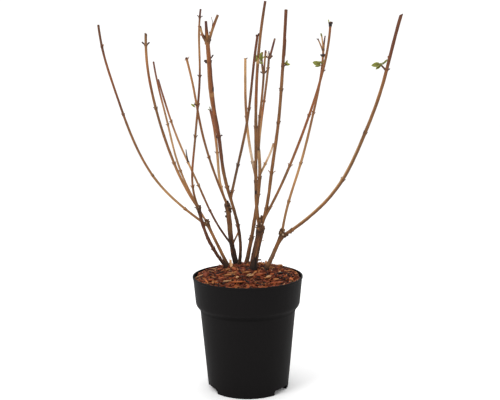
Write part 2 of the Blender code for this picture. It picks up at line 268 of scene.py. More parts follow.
# --- Shader maths ---
class Wire:
    """An output socket, with the arithmetic that finishes are worked out with."""

    def __init__(self, paint: "Paint", socket: bpy.types.NodeSocket) -> None:
        """Wraps a socket of the paint's node tree."""
        self.paint = paint
        self.socket = socket

    def _math(self, operation: str, first: Any, second: Any) -> "Wire":
        """One Math node on two values or links."""
        return self.paint.node("ShaderNodeMath", {"operation": operation}, {0: first, 1: second})

    def __add__(self, other: Any) -> "Wire":
        """self + other"""
        return self._math("ADD", self, other)

    __radd__ = __add__

    def __mul__(self, other: Any) -> "Wire":
        """self * other"""
        return self._math("MULTIPLY", self, other)

    __rmul__ = __mul__

    def __sub__(self, other: Any) -> "Wire":
        """self - other"""
        return self._math("SUBTRACT", self, other)

    def __rsub__(self, other: Any) -> "Wire":
        """other - self"""
        return self._math("SUBTRACT", other, self)

    def __abs__(self) -> "Wire":
        """abs(self)"""
        return self._math("ABSOLUTE", self, 0.0)

    def step(self, low: float, high: float) -> "Wire":
        """0 below low, 1 above high (or the other way about) and a smooth rise between."""
        return self.paint.node(
            "ShaderNodeMapRange",
            {"interpolation_type": "SMOOTHSTEP"},
            {"Value": self, "From Min": low, "From Max": high},
        )


class Paint:
    """A material under way: its node tree and its one Principled shader."""

    def __init__(self, name: str, roughness: float, specular: float = 0.4) -> None:
        """Starts a material with the sockets that are the same all over it."""
        self.material = bpy.data.materials.new(name)
        self.material.use_nodes = True
        self.tree = self.material.node_tree
        self.shader = self.tree.nodes["Principled BSDF"]
        self.shader.inputs["Roughness"].default_value = roughness
        self.shader.inputs["Specular IOR Level"].default_value = specular
        self.shader.inputs["Metallic"].default_value = 0.0

    def node(self, kind: str, settings: Optional[dict[str, Any]] = None,
             inputs: Optional[dict[Any, Any]] = None, output: Any = 0) -> Wire:
        """Adds a node.

        Args:
            kind: the node's type name.
            settings: its own settings, which are made first.
            inputs: a value or a Wire for each socket, by name or number.
            output: the socket that is handed back.

        Returns:
            The output as a Wire.
        """
        made = self.tree.nodes.new(kind)
        for key, value in (settings or {}).items():
            setattr(made, key, value)
        for key, value in (inputs or {}).items():
            if isinstance(value, Wire):
                self.tree.links.new(value.socket, made.inputs[key])
            else:
                made.inputs[key].default_value = value
        return Wire(self, made.outputs[output])

    def attribute(self, name: str, output: str) -> Wire:
        """An attribute of the mesh, as its Color, Vector or Fac."""
        return self.node("ShaderNodeAttribute", {"attribute_name": name}, output=output)

    def place(self) -> Wire:
        """The place on the piece, in metres."""
        return self.node("ShaderNodeTexCoord", output="Object")

    def times(self, vector: Any, factors: Any) -> Wire:
        """A vector or colour, plain or linked, times three factors or one link for all three."""
        if isinstance(factors, Wire):
            inputs = {0: vector, "Scale": factors}
            return self.node("ShaderNodeVectorMath", {"operation": "SCALE"}, inputs)
        return self.node("ShaderNodeVectorMath", {"operation": "MULTIPLY"}, {0: vector, 1: factors})

    def noise(self, vector: Wire, factors: Colour, detail: float = 2.0, lumps: float = 0.5) -> Wire:
        """Noise from 0 to 1 on a vector that is stretched by three factors."""
        inputs = {"Vector": self.times(vector, factors), "Scale": 1.0, "Detail": detail, "Roughness": lumps}
        return self.node("ShaderNodeTexNoise", {}, inputs)

    def spots(self, vector: Wire, factors: Colour) -> Wire:
        """The distance from scattered points, in steps of their spacing."""
        inputs = {"Vector": self.times(vector, factors), "Scale": 1.0}
        return self.node("ShaderNodeTexVoronoi", {"feature": "F1"}, inputs, "Distance")

    def mix(self, share: Any, first: Any, second: Any) -> Wire:
        """A colour between two."""
        inputs = {0: share, 6: self.full(first), 7: self.full(second)}
        return self.node("ShaderNodeMix", {"data_type": "RGBA"}, inputs, 2)

    @staticmethod
    def full(colour: Any) -> Any:
        """A plain colour with its alpha. A link stays as it is."""
        return colour if isinstance(colour, Wire) else (*colour, 1.0)

    def feed(self, socket: str, value: Wire) -> None:
        """Links a value to the shader."""
        self.tree.links.new(value.socket, self.shader.inputs[socket])

    def bump(self, height: Wire, depth: float) -> None:
        """Gives the surface fine relief, depth metres for each unit of height."""
        inputs = {"Strength": 1.0, "Distance": depth, "Height": height}
        self.feed("Normal", self.node("ShaderNodeBump", {}, inputs))


# --- Finishes ---
@dataclass(frozen=True)
class Bark:
    """Bark whose colour and age lie on the mesh, with fibres, pores and cracks along the cane."""

    name: str = "bark"
    gloss: float = 0.5
    relief: float = 0.3 * MM
    pale: Colour = (1.55, 1.5, 1.42)  # pores, as factors on the coat
    dark: Colour = (0.30, 0.27, 0.26)  # cracks, as factors on the coat

    def material(self) -> bpy.types.Material:
        """The finish as a material."""
        paint = Paint(self.name, self.gloss, 0.3)
        along = paint.attribute("grain", "Vector")
        coat = paint.attribute("coat", "Color")
        age = paint.attribute("age", "Fac")
        fibre = paint.noise(along, (1500, 1500, 70), 3.0, 0.6)
        fine = paint.noise(along, (3600, 3600, 420), 2.0)
        patch = paint.noise(along, (260, 260, 60), 2.0)
        crack = 1.0 - abs(paint.noise(along, (800, 800, 46), 2.0) - 0.5).step(0.0, 0.055)
        pore = paint.spots(along, (640, 640, 250)).step(0.30, 0.12)
        pore = pore * paint.noise(along, (210, 210, 120)).step(0.45, 0.6) * (1.0 - age)
        tone = 0.42 + fibre * 0.62 + fine * 0.30 + patch * 0.26
        colour = paint.times(coat, tone)
        colour = paint.mix(pore * 0.75, colour, paint.times(coat, self.pale))
        colour = paint.mix(crack * (0.18 + age * 0.62), colour, paint.times(coat, self.dark))
        paint.feed("Base Color", colour)
        paint.feed("Roughness", self.gloss + fine * 0.22 + age * 0.16)
        height = fibre * 0.8 + fine * 0.35 + pore * 0.5 - crack * (0.25 + age * 1.1)
        paint.bump(height, self.relief)
        return paint.material


@dataclass(frozen=True)
class Woody:
    """A finish for many small dry things: one plain colour, a little fibre and a matt surface."""

    name: str
    colour: Colour
    gloss: float = 0.8
    streak: float = 0.35
    relief: float = 0.35 * MM

    def material(self) -> bpy.types.Material:
        """The finish as a material."""
        paint = Paint(self.name, self.gloss, 0.25)
        along = paint.attribute("grain", "Vector")
        fibre = paint.noise(along, (1400, 1400, 130), 3.0, 0.6)
        tone = (1.0 - self.streak) + fibre * (2.0 * self.streak)
        paint.feed("Base Color", paint.times(self.colour, tone))
        paint.bump(fibre, self.relief)
        return paint.material


@dataclass(frozen=True)
class Foliage:
    """Young leaf: yellow-green blade, paler veins and a browner edge, all told on the mesh."""

    name: str = "young_leaf"

    def material(self) -> bpy.types.Material:
        """The finish as a material."""
        paint = Paint(self.name, 0.5, 0.35)
        coat = paint.attribute("coat", "Color")
        fine = paint.noise(paint.place(), (1500, 1500, 1500), 3.0)
        patch = paint.noise(paint.place(), (260, 260, 260), 2.0)
        paint.feed("Base Color", paint.times(coat, 0.62 + fine * 0.34 + patch * 0.42))
        paint.feed("Roughness", 0.42 + patch * 0.25)
        paint.bump(fine, 0.2 * MM)
        return paint.material


@dataclass(frozen=True)
class Plastic:
    """Recycled black plastic: flat, a little dusty, faint upright flow marks, painted shade at the shoulder.
    """

    name: str = "pot_plastic"
    colour: Colour = (0.0050, 0.0044, 0.0045)
    gloss: float = 0.58
    crease_shade_foot: Span = (0.1500, 0.1535)  # heights where the painted shade round the shoulder's crease starts
    crease_shade_top: Span = (0.1575, 0.1620)  # and where it ends

    def material(self) -> bpy.types.Material:
        """The finish as a material."""
        paint = Paint(self.name, self.gloss, 0.06)
        place = paint.place()
        flow = paint.noise(place, (130, 130, 7), 3.0)
        dust = paint.noise(place, (900, 900, 900), 4.0, 0.6)
        cloud = paint.noise(place, (24, 24, 18), 2.0)
        rise = paint.node("ShaderNodeSeparateXYZ", {}, {0: place}, output="Z")
        # fold: a band round the shoulder, darkened in the colour as painted shade in its crease, and made
        # rougher
        fold = rise.step(*self.crease_shade_foot) - rise.step(*self.crease_shade_top)
        tone = (0.78 + flow * 0.24 + dust * 0.14 + cloud * 0.10) * (1.0 - fold * 0.3)
        paint.feed("Base Color", paint.times(self.colour, tone))
        paint.feed("Roughness", self.gloss - 0.1 + flow * 0.14 + dust * 0.10 + fold * 0.14)
        paint.bump(dust * 0.5 + flow * 0.4, 0.06 * MM)
        return paint.material


@dataclass(frozen=True)
class Earth:
    """Damp dark potting mix between the chips."""

    name: str = "potting_earth"
    dark: Colour = shade(34, 20, 15)
    light: Colour = shade(98, 52, 36)

    def material(self) -> bpy.types.Material:
        """The finish as a material."""
        paint = Paint(self.name, 0.9, 0.2)
        place = paint.place()
        crumbs = paint.noise(place, (420, 420, 420), 5.0, 0.65)
        fine = paint.noise(place, (1600, 1600, 1600), 3.0)
        paint.feed("Base Color", paint.mix(crumbs.step(0.42, 0.7), self.dark, self.light))
        paint.feed("Roughness", 0.8 + fine * 0.2)
        paint.bump(crumbs + fine * 0.3, 1.2 * MM)
        return paint.material


# --- Limbs: where they run ---
@dataclass(frozen=True)
class Mark:
    """A scar, a dark streak, a lifted flap, or a painted highlight or shade on one side of a cane: where it
    lies, and its colour.

    start and end are shares of the cane's length, and bearing is the side that it lies on, in
    degrees from +X towards +Y. Spread is in degrees and rise in millimetres.
    """

    start: float
    end: float
    bearing: float
    spread: float = 40.0
    coat: Coat = INK
    rise: float = 0.0


@dataclass(frozen=True)
class Limb:
    """One tapering limb, told as the solid that it stands for is, and how its bark looks.

    A stem has a foot on the bed. Any other limb has a parent and the share of the parent's length
    at which it leaves. Lengths are in millimetres, leans in degrees from upright, sideways towards
    +X and forward towards +Y, and girths are diameters evenly spaced from the foot to the tip.
    Skin is how much thicker the bark makes it all round, and foot_dark how much darker its foot is where it
    leaves its parent.
    """

    name: str
    length: float
    girths: Numbers
    sideways: Numbers
    forward: Numbers
    foot: Optional[Numbers] = None
    parent: Optional[str] = None
    share: float = 1.0
    shift: Numbers = (0.0, 0.0)
    knuckle: float = 0.0
    split: bool = False
    coats: tuple[Coat, ...] = (HAZEL, HAZEL)
    ages: Numbers = (0.1, 0.0)
    nodes: Numbers = ()
    turn: float = 30.0
    slant: float = 0.0
    marks: tuple[Mark, ...] = ()
    skin: float = 0.25
    foot_dark: float = 0.7
    packed: bool = True

    @property
    def seed(self) -> int:
        """A number of the limb's own for its uneven values."""
        return sum(map(ord, self.name))


# The bed of potting mix: a tilted plane with a dome on it, as on the solid.
POT_HEIGHT = 0.2175
BED_EDGE = POT_HEIGHT - 4.5 * MM
BED_TILT_X = 0.015
BED_TILT_Y = -0.03
DOME_RISE = 21.2 * MM
DOME_Y = 0.03
DOME_WIDTH = 0.1
DOME_FRONT = 0.12
DOME_BACK = 0.072
SEAT_DEPTH = 2.0 * MM

# A limb's line is worked out in steps; a stem flares at its foot and swells at its knuckle.
LINE_STEPS = 48
FLARE = 1.3 * MM
FLARE_LENGTH = 11.0 * MM
KNUCKLE_LENGTH = 9.0 * MM


def node_bearing(limb: Limb, number: int) -> float:
    """The side that a node's first bud is on: each pair stands across from the one below."""
    return limb.turn * (-1.0) ** number


def bed_height(x: np.ndarray, y: np.ndarray) -> np.ndarray:
    """Height of the potting mix at places in the pot."""
    edge = BED_EDGE + BED_TILT_X * x + BED_TILT_Y * y
    depth = np.where(y < DOME_Y, DOME_FRONT, DOME_BACK)
    away = (x / DOME_WIDTH) ** 2 + ((y - DOME_Y) / depth) ** 2
    return edge + DOME_RISE * np.maximum(0.0, 1.0 - away)


def bed_at(x: float, y: float) -> float:
    """Height of the potting mix at one place."""
    return float(bed_height(np.array(x), np.array(y)))


def eased(values: Sequence[float], shares: np.ndarray) -> np.ndarray:
    """A smooth curve through evenly spaced values, read at shares of the way along them."""
    knots = np.asarray(values, float)
    slopes = np.gradient(knots)
    place = np.clip(shares, 0.0, 1.0) * (len(knots) - 1)
    left = np.minimum(place.astype(int), len(knots) - 2)
    t = place - left
    return (
        (2 * t**3 - 3 * t**2 + 1) * knots[left]
        + (t**3 - 2 * t**2 + t) * slopes[left]
        + (3 * t**2 - 2 * t**3) * knots[left + 1]
        + (t**3 - t**2) * slopes[left + 1]
    )


class Route:
    """The line that a limb follows, its thickness, and the directions across it."""

    def __init__(self, limb: Limb, routes: dict[str, "Route"]) -> None:
        """Works the line out from its foot up.

        Args:
            limb: the limb.
            routes: the routes of the limbs before it, its parent's among them.
        """
        self.limb = limb
        self.length = limb.length * MM
        if limb.parent:
            parent = routes[limb.parent]
            start = parent.place(np.array([limb.share * parent.length]))[0]
            start = start + np.array([*limb.shift, 0.0]) * MM
        else:
            x, y = (value * MM for value in limb.foot)
            start = np.array([x, y, bed_at(x, y) - SEAT_DEPTH])
        middles = (np.arange(LINE_STEPS) + 0.5) / LINE_STEPS
        steps = self.heading(middles) * self.length / LINE_STEPS
        self.knots = np.vstack([start, start + np.cumsum(steps, axis=0)])

    def heading(self, shares: np.ndarray) -> np.ndarray:
        """Unit directions at shares of the length, one row each."""
        sideways = np.radians(eased(self.limb.sideways, shares))
        forward = np.radians(eased(self.limb.forward, shares))
        return np.column_stack([
            np.sin(sideways) * np.cos(forward),
            np.sin(forward),
            np.cos(sideways) * np.cos(forward),
        ])

    def place(self, along: np.ndarray) -> np.ndarray:
        """Places on the line at distances from its foot. It runs straight on past its ends."""
        inside = np.clip(along, 0.0, self.length)
        steps = np.linspace(0.0, self.length, LINE_STEPS + 1)
        found = np.column_stack([np.interp(inside, steps, knots) for knots in self.knots.T])
        return found + (along - inside)[:, None] * self.heading(inside / self.length)

    def across(self, along: np.ndarray) -> tuple[np.ndarray, np.ndarray, np.ndarray]:
        """The limb's direction and two directions across it, the first nearest to +X."""
        ahead = self.heading(along / self.length)
        right = np.array([1.0, 0.0, 0.0]) - ahead * ahead[:, :1]
        right /= np.linalg.norm(right, axis=1, keepdims=True)
        return ahead, right, np.cross(ahead, right)

    def radius(self, along: np.ndarray) -> np.ndarray:
        """Plain radius at distances from the foot, with a stem's flare and its knuckle."""
        girths = np.array(self.limb.girths) * MM / 2 + self.limb.skin * MM
        shares = np.linspace(0.0, 1.0, len(girths))
        radius = np.interp(np.clip(along / self.length, 0.0, 1.0), shares, girths)
        if not self.limb.parent:
            radius = radius + FLARE * np.exp(-np.maximum(along, 0.0) / FLARE_LENGTH)
        if self.limb.knuckle:
            below = self.length - along
            grown = self.limb.knuckle * MM / 2 - girths[-1]
            radius = radius + grown * np.exp(-((below / KNUCKLE_LENGTH) ** 2))
        return radius

    def point(self, along: float) -> Vector:
        """The place on the line at one distance from its foot."""
        return Vector(self.place(np.array([along]))[0])

    def half_girth(self, along: float) -> float:
        """The plain radius at one distance from the foot."""
        return float(self.radius(np.array([along]))[0])

    def axes(self, along: float) -> tuple[Vector, Vector, Vector]:
        """The direction and the two across it at one distance from the foot."""
        ahead, right, back = self.across(np.array([along]))
        return Vector(ahead[0]), Vector(right[0]), Vector(back[0])

    def seat(self, share: float, bearing: float, lift: float, tilt: float) -> Matrix:
        """Where a bud or stub sits on the limb.

        Args:
            share: share of the limb's length.
            bearing: side of the limb, in degrees from +X towards +Y.
            lift: distance of the seat from the line as a share of the radius.
            tilt: degrees that the seat's Z leans out from the limb's direction.

        Returns:
            A matrix whose Z points along the bud and whose X points out of the limb.
        """
        along = share * self.length
        ahead, right, back = self.axes(along)
        angle = math.radians(bearing)
        out = math.cos(angle) * right + math.sin(angle) * back
        lean = math.radians(tilt)
        axis = math.cos(lean) * ahead + math.sin(lean) * out
        side = axis.cross(out).normalized()
        face = side.cross(axis)
        place = self.point(along) + out * self.half_girth(along) * lift
        turn = Matrix((face, side, axis)).transposed()
        return Matrix.Translation(place) @ turn.to_4x4()


# --- Limbs: the plant ---
STEMS = (
    Limb("left_front_stem", 133, (6.0, 5.7), (-41, -23, -9), (-8, -8), foot=(-39.0, 20), knuckle=9.0,
         coats=(UMBER, UMBER, CHESTNUT, CHESTNUT, CHESTNUT, UMBER), ages=(0.8, 0.6),
         nodes=(0.354,)),
    Limb("left_back_stem", 93, (5.8, 5.4), (-24, -27, -23), (6, 10), foot=(-38.4, 34), knuckle=8.4,
         coats=(UMBER, HAZEL, FAWN, HAZEL, FAWN, HAZEL, BROWN), ages=(0.5, 0.4), skin=0.35),
    Limb("centre_left_stem", 118, (8.6, 8.4), (-17, -9, -5, -8), (12, 8), foot=(-22, 42), knuckle=12.5,
         coats=(SOOT, UMBER, UMBER, HAZEL, HAZEL, BROWN), ages=(1.0, 0.7), skin=0.6),
    Limb("front_cane", 463, (5.4, 5.5, 5.6, 5.6, 5.7, 5.9, 6.6, 7.0, 8.8, 7.4, 6.3),
         (10, -9, -15, -5, -9, -2, -2), (-14, -22, -34), foot=(-16.6, 30), split=True,
         coats=(UMBER, BROWN, BROWN, HAZEL, HAZEL, CHESTNUT, CHESTNUT, RUSSET,
                RUSSET, RUSSET, HAZEL),
         ages=(0.7, 0.2), nodes=(0.183, 0.363, 0.589, 0.91), turn=0,
         # The FAWN mark on the left (bearing 200) is a painted highlight where the key light falls; the
         # CHESTNUT marks on the right (bearing -25) are painted shade.
         marks=(Mark(0.70, 0.97, 200, 44, FAWN), Mark(0.78, 0.94, -25, 44, CHESTNUT),
                Mark(0.60, 0.76, -25, 40, CHESTNUT), Mark(0.765, 0.785, -60, 80, FAWN, 0.1),
                Mark(0.786, 0.806, -15, 56, SOOT, 0.3))),
    Limb("middle_back_stem", 225, (6.9, 6.1), (13, 10, 6, -7), (8, 10), foot=(-2.7, 46), knuckle=7.0,
         coats=(BROWN, HAZEL, HAZEL, HAZEL, STRAW), ages=(0.6, 0.3),
         nodes=(0.21, 0.232, 0.607, 0.755), skin=0.3),
    Limb("main_stem", 77, (12.9, 12.4), (2, 13, 8), (2, 2), foot=(11.0, -12), knuckle=16.0,
         coats=(SOOT, UMBER, UMBER, BROWN, BROWN, BROWN, UMBER), ages=(1.0, 0.9),
         marks=(Mark(0.05, 1.0, -140, 15, UMBER, -0.8), Mark(0.1, 0.9, 178, 24, HAZEL, 0.4),
                Mark(0.3, 0.8, -80, 18, HAZEL, 0.3), Mark(0.0, 0.4, -62, 14, SOOT, -0.7))),
    Limb("right_stem", 70, (7.0, 6.6), (31, 23, 29), (2, 4), foot=(34.1, -4), knuckle=10.5,
         coats=(SOOT, HAZEL, ASH, ASH, HAZEL, HAZEL, BROWN), ages=(0.8, 0.6), skin=0.35),
)

BOUGHS = (
    Limb("outer_left_bough", 455, (4.2, 4.0), (-55, -46, -28, -19, -17, -6), (0, 6),
         parent="left_back_stem", share=0.92, split=True,
         coats=(HAZEL, FAWN, STRAW, FAWN, HAZEL, HAZEL, CHESTNUT, RUSSET, CHESTNUT, BROWN),
         nodes=(0.123, 0.324, 0.61, 0.908), turn=42, skin=0.3),
    Limb("left_back_bough", 363, (4.1, 3.9), (-34, -26, -15, -16, -11), (20, 24),
         parent="left_back_stem", split=True, skin=0.05,
         coats=(HAZEL, FAWN, FAWN, STRAW, FAWN, RUSSET, PLUM), nodes=(0.328, 0.608)),
    Limb("left_front_bough", 347, (4.7, 4.0), (-33, -21, -14, -7, 6), (-10, -22),
         parent="left_front_stem", shift=(0, -2.4), split=True,
         coats=(HAZEL, FAWN, FAWN, HAZEL, HAZEL, HAZEL, RUSSET, FAWN, BROWN),
         nodes=(0.287, 0.603, 0.942), turn=0, slant=-30.0),
    Limb("left_tall_bough", 369, (4.0, 3.4), (-23, 4, 6, 5, -1, 8), (-4, -4),
         parent="left_front_stem", shift=(0, 2.4), split=True, skin=0.2,
         coats=(HAZEL, HAZEL, RUSSET, HAZEL, HAZEL, CHESTNUT, CHESTNUT, FAWN, FAWN, PLUM),
         nodes=(0.116, 0.374, 0.533, 0.677, 0.962), turn=0),
    Limb("left_rear_bough", 402, (4.1, 3.8), (-41, -26, -27, -21, -19), (18, 34),
         parent="centre_left_stem", share=0.33, split=True, skin=0.15,
         coats=(UMBER, CHESTNUT, HAZEL, STRAW, FAWN, RUSSET, PLUM),
         nodes=(0.204, 0.346, 0.48, 0.73)),
    Limb("centre_left_bough", 296, (4.1, 3.8), (-23, -17, -9, -14), (0, -8),
         parent="centre_left_stem", shift=(0, -2.4), skin=0.32,
         coats=(HAZEL, HAZEL, HAZEL, RUSSET, FAWN, FAWN), nodes=(0.337, 0.694),
         marks=(Mark(0.986, 1.03, -90, 180, CHESTNUT, 0.2),)),
    Limb("centre_short_bough", 212, (4.9, 4.7), (-28, -6, -8, -15), (26, 30),
         parent="centre_left_stem", shift=(0, 2.8), skin=0.2,
         coats=(HAZEL, STRAW, STRAW, FAWN, RUSSET, CHESTNUT), nodes=(0.181, 0.535)),
    Limb("front_cane_fork", 310, (4.5, 3.8), (12, 13, 6, 9), (-4, -22), parent="front_cane", share=0.31,
         coats=(HAZEL, BROWN, HAZEL, BROWN, CHESTNUT, CHESTNUT), nodes=(0.043, 0.209, 0.559),
         skin=0.3),
    Limb("middle_back_bough", 155, (4.8, 4.5), (-2, 7, 3), (8, 14), skin=0.1,
         parent="middle_back_stem", shift=(0, -1.8), coats=(HAZEL, HAZEL, HAZEL, HAZEL, BROWN),
         nodes=(0.42,)),
    Limb("middle_rear_bough", 216, (4.1, 4.2), (5, 9, 5), (28, 32), skin=0.35,
         parent="middle_back_stem", shift=(0, 2.4), coats=(HAZEL, STRAW, RUSSET, HAZEL, HAZEL, BROWN),
         nodes=(0.50, 0.86)),
    Limb("middle_side_bough", 73, (3.5, 3.2), (27, 27, 18), (20, 30),
         parent="middle_back_stem", share=0.78, coats=(HAZEL, STRAW, STRAW, BONE, BONE, FAWN),
         nodes=(0.339,), skin=0.45),
    Limb("tall_bough", 425, (6.4, 4.8), (-11, 0, 0, 2, 6, 10), (2, 4), parent="main_stem", split=True,
         coats=(HAZEL, HAZEL, HAZEL, HAZEL, HAZEL, RUSSET, HAZEL, HAZEL, CHESTNUT),
         ages=(0.5, 0.0), nodes=(0.216, 0.455), turn=35, skin=0.1,
         marks=(Mark(0.728, 0.756, -100, 120, STRAW, 0.3), Mark(0.27, 0.315, -20, 60, INK, -0.3),
                Mark(0.16, 0.18, -100, 50, INK, -0.2))),
    Limb("pale_rear_bough", 257, (4.3, 4.2), (-14, -7, -1, 1), (26, 34), parent="tall_bough", share=0.24,
         coats=(HAZEL, BONE, STRAW, HAZEL, FAWN, STRAW, STRAW), nodes=(0.109, 0.484), skin=0.4),
    Limb("right_centre_bough", 415, (5.5, 4.6), (19, 7, 8, 4, 3, 2), (-12, -20),
         parent="main_stem", split=True, skin=0.4,
         coats=(HAZEL, HAZEL, HAZEL, HAZEL, HAZEL, CHESTNUT, CHESTNUT),
         ages=(0.5, 0.0), nodes=(0.108, 0.281, 0.512, 0.66, 0.765),
         # The HAZEL mark on the left side (bearing 200) is a painted highlight where the key light falls.
         marks=(Mark(0.80, 0.885, 0, 46, CHESTNUT, 0.7), Mark(0.78, 0.97, 200, 40, HAZEL))),
    Limb("right_front_bough", 401, (4.3, 3.2), (28, 22, 18, 13, 0), (-16, -30),
         parent="right_centre_bough", share=0.055, split=True, skin=0.38,
         coats=(HAZEL, HAZEL, HAZEL, RUSSET, RUSSET, HAZEL, RUSSET),
         nodes=(0.067, 0.302, 0.561, 0.782, 0.985),
         marks=(Mark(0.982, 1.02, -90, 180, SOOT, 0.4),)),
    Limb("right_rear_bough", 409, (4.4, 4.1), (9, 20, 16, 14, 5), (22, 30), parent="right_stem",
         split=True, coats=(FAWN, FAWN, STRAW, FAWN, HAZEL, RUSSET, HAZEL),
         nodes=(0.171, 0.369, 0.643, 0.968), skin=0.3,
         marks=(Mark(0.958, 0.976, -90, 180, SOOT, 0.6),)),
    Limb("outer_right_bough", 483, (5.9, 5.4), (59, 45, 26, 21, 14, 16), (0, 4),
         parent="right_stem", split=True, skin=0.42,
         coats=(HAZEL, HAZEL, HAZEL, HAZEL, HAZEL, HAZEL, CHESTNUT, CHESTNUT),
         ages=(0.4, 0.0), nodes=(0.046, 0.328, 0.529, 0.785), slant=38.0,
         # The STRAW and FAWN marks on the upper left (bearings 190 and 200) are painted highlights where the
         # key light falls; the CHESTNUT mark underneath (bearing -10) is painted shade.
         marks=(Mark(0.03, 0.52, 190, 62, STRAW), Mark(0.05, 0.36, -10, 62, CHESTNUT),
                Mark(0.55, 0.78, 200, 44, FAWN))),
)

TWIGS = (
    Limb("front_cane_left_twig", 28, (5.6, 4.6, 3.4, 3.0, 2.8), (-36, -29, -14, -11), (-26, -20),
         parent="front_cane", share=0.995, shift=(-1.6, 0), foot_dark=0.1, skin=0.2,
         coats=(FAWN, HAZEL, CHESTNUT, RUSSET, STRAW, STRAW, BROWN),
         marks=(Mark(0.24, 0.46, 90, 180, UMBER, 0.3),)),
    Limb("front_cane_middle_twig", 37.5, (7.4, 7.2, 5.2, 4.2, 4.0), (-2, -3), (-20, -14),
         parent="front_cane", share=0.985, shift=(-0.6, 1.2), foot_dark=0.1,
         coats=(FAWN, HAZEL, FAWN, RUSSET, CHESTNUT, PLUM, PLUM)),
    Limb("front_cane_right_twig", 48.8, (4.6, 4.2, 4.0), (17, 25), (-20, -20), parent="front_cane",
         share=0.99, shift=(1.6, -0.6), foot_dark=0.3, skin=0.2,
         coats=(HAZEL, BROWN, FAWN, FAWN, RUSSET, HAZEL, HAZEL)),
    Limb("middle_back_left_twig", 44, (3.8, 3.8, 2.8, 2.6), (-11, 8), (20, 22), parent="middle_back_bough",
         share=0.99, shift=(-0.8, 0.6), coats=(HAZEL, HAZEL, BROWN, PLUM, CHESTNUT, FAWN), foot_dark=0.3),
    Limb("middle_back_right_twig", 44.5, (3.6, 3.2, 3.2), (3, 6), (4, 6), parent="middle_back_bough",
         share=0.99, shift=(0.7, -0.6), coats=(HAZEL, BROWN, HAZEL, FAWN, HAZEL, PLUM), foot_dark=0.3),
    Limb("middle_rear_twig", 44, (4.4, 4.2, 3.8), (17, 15), (24, 20), parent="middle_rear_bough",
         share=0.985, shift=(1.5, 0), coats=(BROWN, CHESTNUT, PLUM, PLUM, ASH)),
    Limb("right_rear_left_twig", 31, (3.4, 2.9, 2.5), (-20, -20), (34, 30),
         parent="right_rear_bough", skin=0.12, share=0.998, shift=(-0.5, 0.3),
         coats=(CHESTNUT, HAZEL, FAWN, FAWN, PLUM)),
    Limb("right_rear_middle_twig", 32, (3.2, 2.8, 2.8), (-2, -6), (24, 18),
         parent="right_rear_bough", skin=0.12, share=0.998, shift=(0, -0.4),
         coats=(HAZEL, FAWN, STRAW, STRAW)),
    Limb("right_rear_right_twig", 35.5, (3.6, 3.3, 2.9), (7, 11), (32, 28),
         parent="right_rear_bough", skin=0.12, share=0.998, shift=(0.5, 0.2),
         coats=(HAZEL, HAZEL, PLUM, PLUM, ASH)),
    Limb("rear_dead_twig", 28, (2.8, 2.0, 1.2), (-14, -6), (10, 14), parent="left_rear_bough",
         share=0.48, coats=(UMBER, INK), packed=False),
    Limb("stem_dead_twig", 31, (3.6, 2.8), (30, 22), (2, 4), parent="centre_left_stem",
         share=0.33, coats=(BROWN, FAWN), packed=False),
)


# --- Limbs: their bark ---
RING_STEP = 0.85 * MM  # height of a face along a cane
FACET = 0.6 * MM  # its width round the cane
STRIP_MARGIN = 0.012
MAP_NAME = "OFBake"
CUT_RISE = (0.4, 1.0, 0.7, 0.5, -1.0, -1.6)  # heights of a cut tip's rings, in steps of its rim
CUT_WIDTH = (0.97, 0.88, 0.74, 0.42, 0.26, 0.06)  # their shares of the radius, in to the pith


def sleeve(name: str, rings: int, sides: int) -> bpy.types.Mesh:
    """A closed tube of radius 1 about Z, with its rings spaced evenly from 0 to 1.

    Args:
        name: the mesh's name.
        rings: how many rings of vertices it has.
        sides: how many vertices a ring has.

    Returns:
        The mesh, faces outwards.
    """
    form = bmesh.new()
    bmesh.ops.create_grid(form, x_segments=sides, y_segments=rings - 1, size=0.5)
    for vert in form.verts:
        angle = TURN * (vert.co.x + 0.5)
        vert.co = (math.cos(angle), math.sin(angle), vert.co.y + 0.5)
    seam = [vert for vert in form.verts if abs(vert.co.y) < 1e-5 and vert.co.x > 0.0]
    bmesh.ops.remove_doubles(form, verts=seam, dist=1e-5)
    rims = [edge for edge in form.edges if edge.is_boundary]
    bmesh.ops.holes_fill(form, edges=rims, sides=0)
    face_out(form)
    return mesh_of(name, form)


class Rings:
    """Which ring of its sleeve each vertex is on, and at what angle."""

    def __init__(self, mesh: bpy.types.Mesh, count: int) -> None:
        """Reads the sleeve while it is still a plain tube."""
        places = points_of(mesh)
        self.mesh = mesh
        self.ring = np.rint(places[:, 2] * (count - 1)).astype(int)
        self.angle = np.arctan2(places[:, 1], places[:, 0]) % TURN
        self.angle[self.angle > TURN - 1e-4] = 0.0

    def lay_map(self, progress: np.ndarray, strips: int) -> None:
        """Lays the surface out flat in strips side by side, as the map that a bake draws on.

        Args:
            progress: share of the way along the sleeve for each ring.
            strips: how many strips it is cut into.
        """
        mesh = self.mesh
        layer = mesh.uv_layers.new(name=MAP_NAME)
        corners = np.empty(len(mesh.loops), np.int32)
        mesh.loops.foreach_get("vertex_index", corners)
        sizes = np.empty(len(mesh.polygons), np.int32)
        mesh.polygons.foreach_get("loop_total", sizes)
        first = np.concatenate([[0], np.cumsum(sizes)[:-1]])
        face = np.repeat(np.arange(len(sizes)), sizes)
        angle = self.angle[corners] / TURN
        widest = np.maximum.reduceat(angle, first)[face]
        angle = np.where((widest > 0.6) & (angle < 0.4), angle + 1.0, angle)
        along = progress[self.ring[corners]]
        middle = np.add.reduceat(along, first) / sizes
        strip = np.minimum((middle * strips).astype(int), strips - 1)[face]
        margin = STRIP_MARGIN + 0.6 * strips * float(np.diff(progress).max())
        across = (strip + 0.05 + 0.9 * angle) / strips
        upward = margin + (1.0 - 2.0 * margin) * (along * strips - strip)
        layer.uv.foreach_set("vector", np.column_stack([across, upward]).astype(np.float32).ravel())


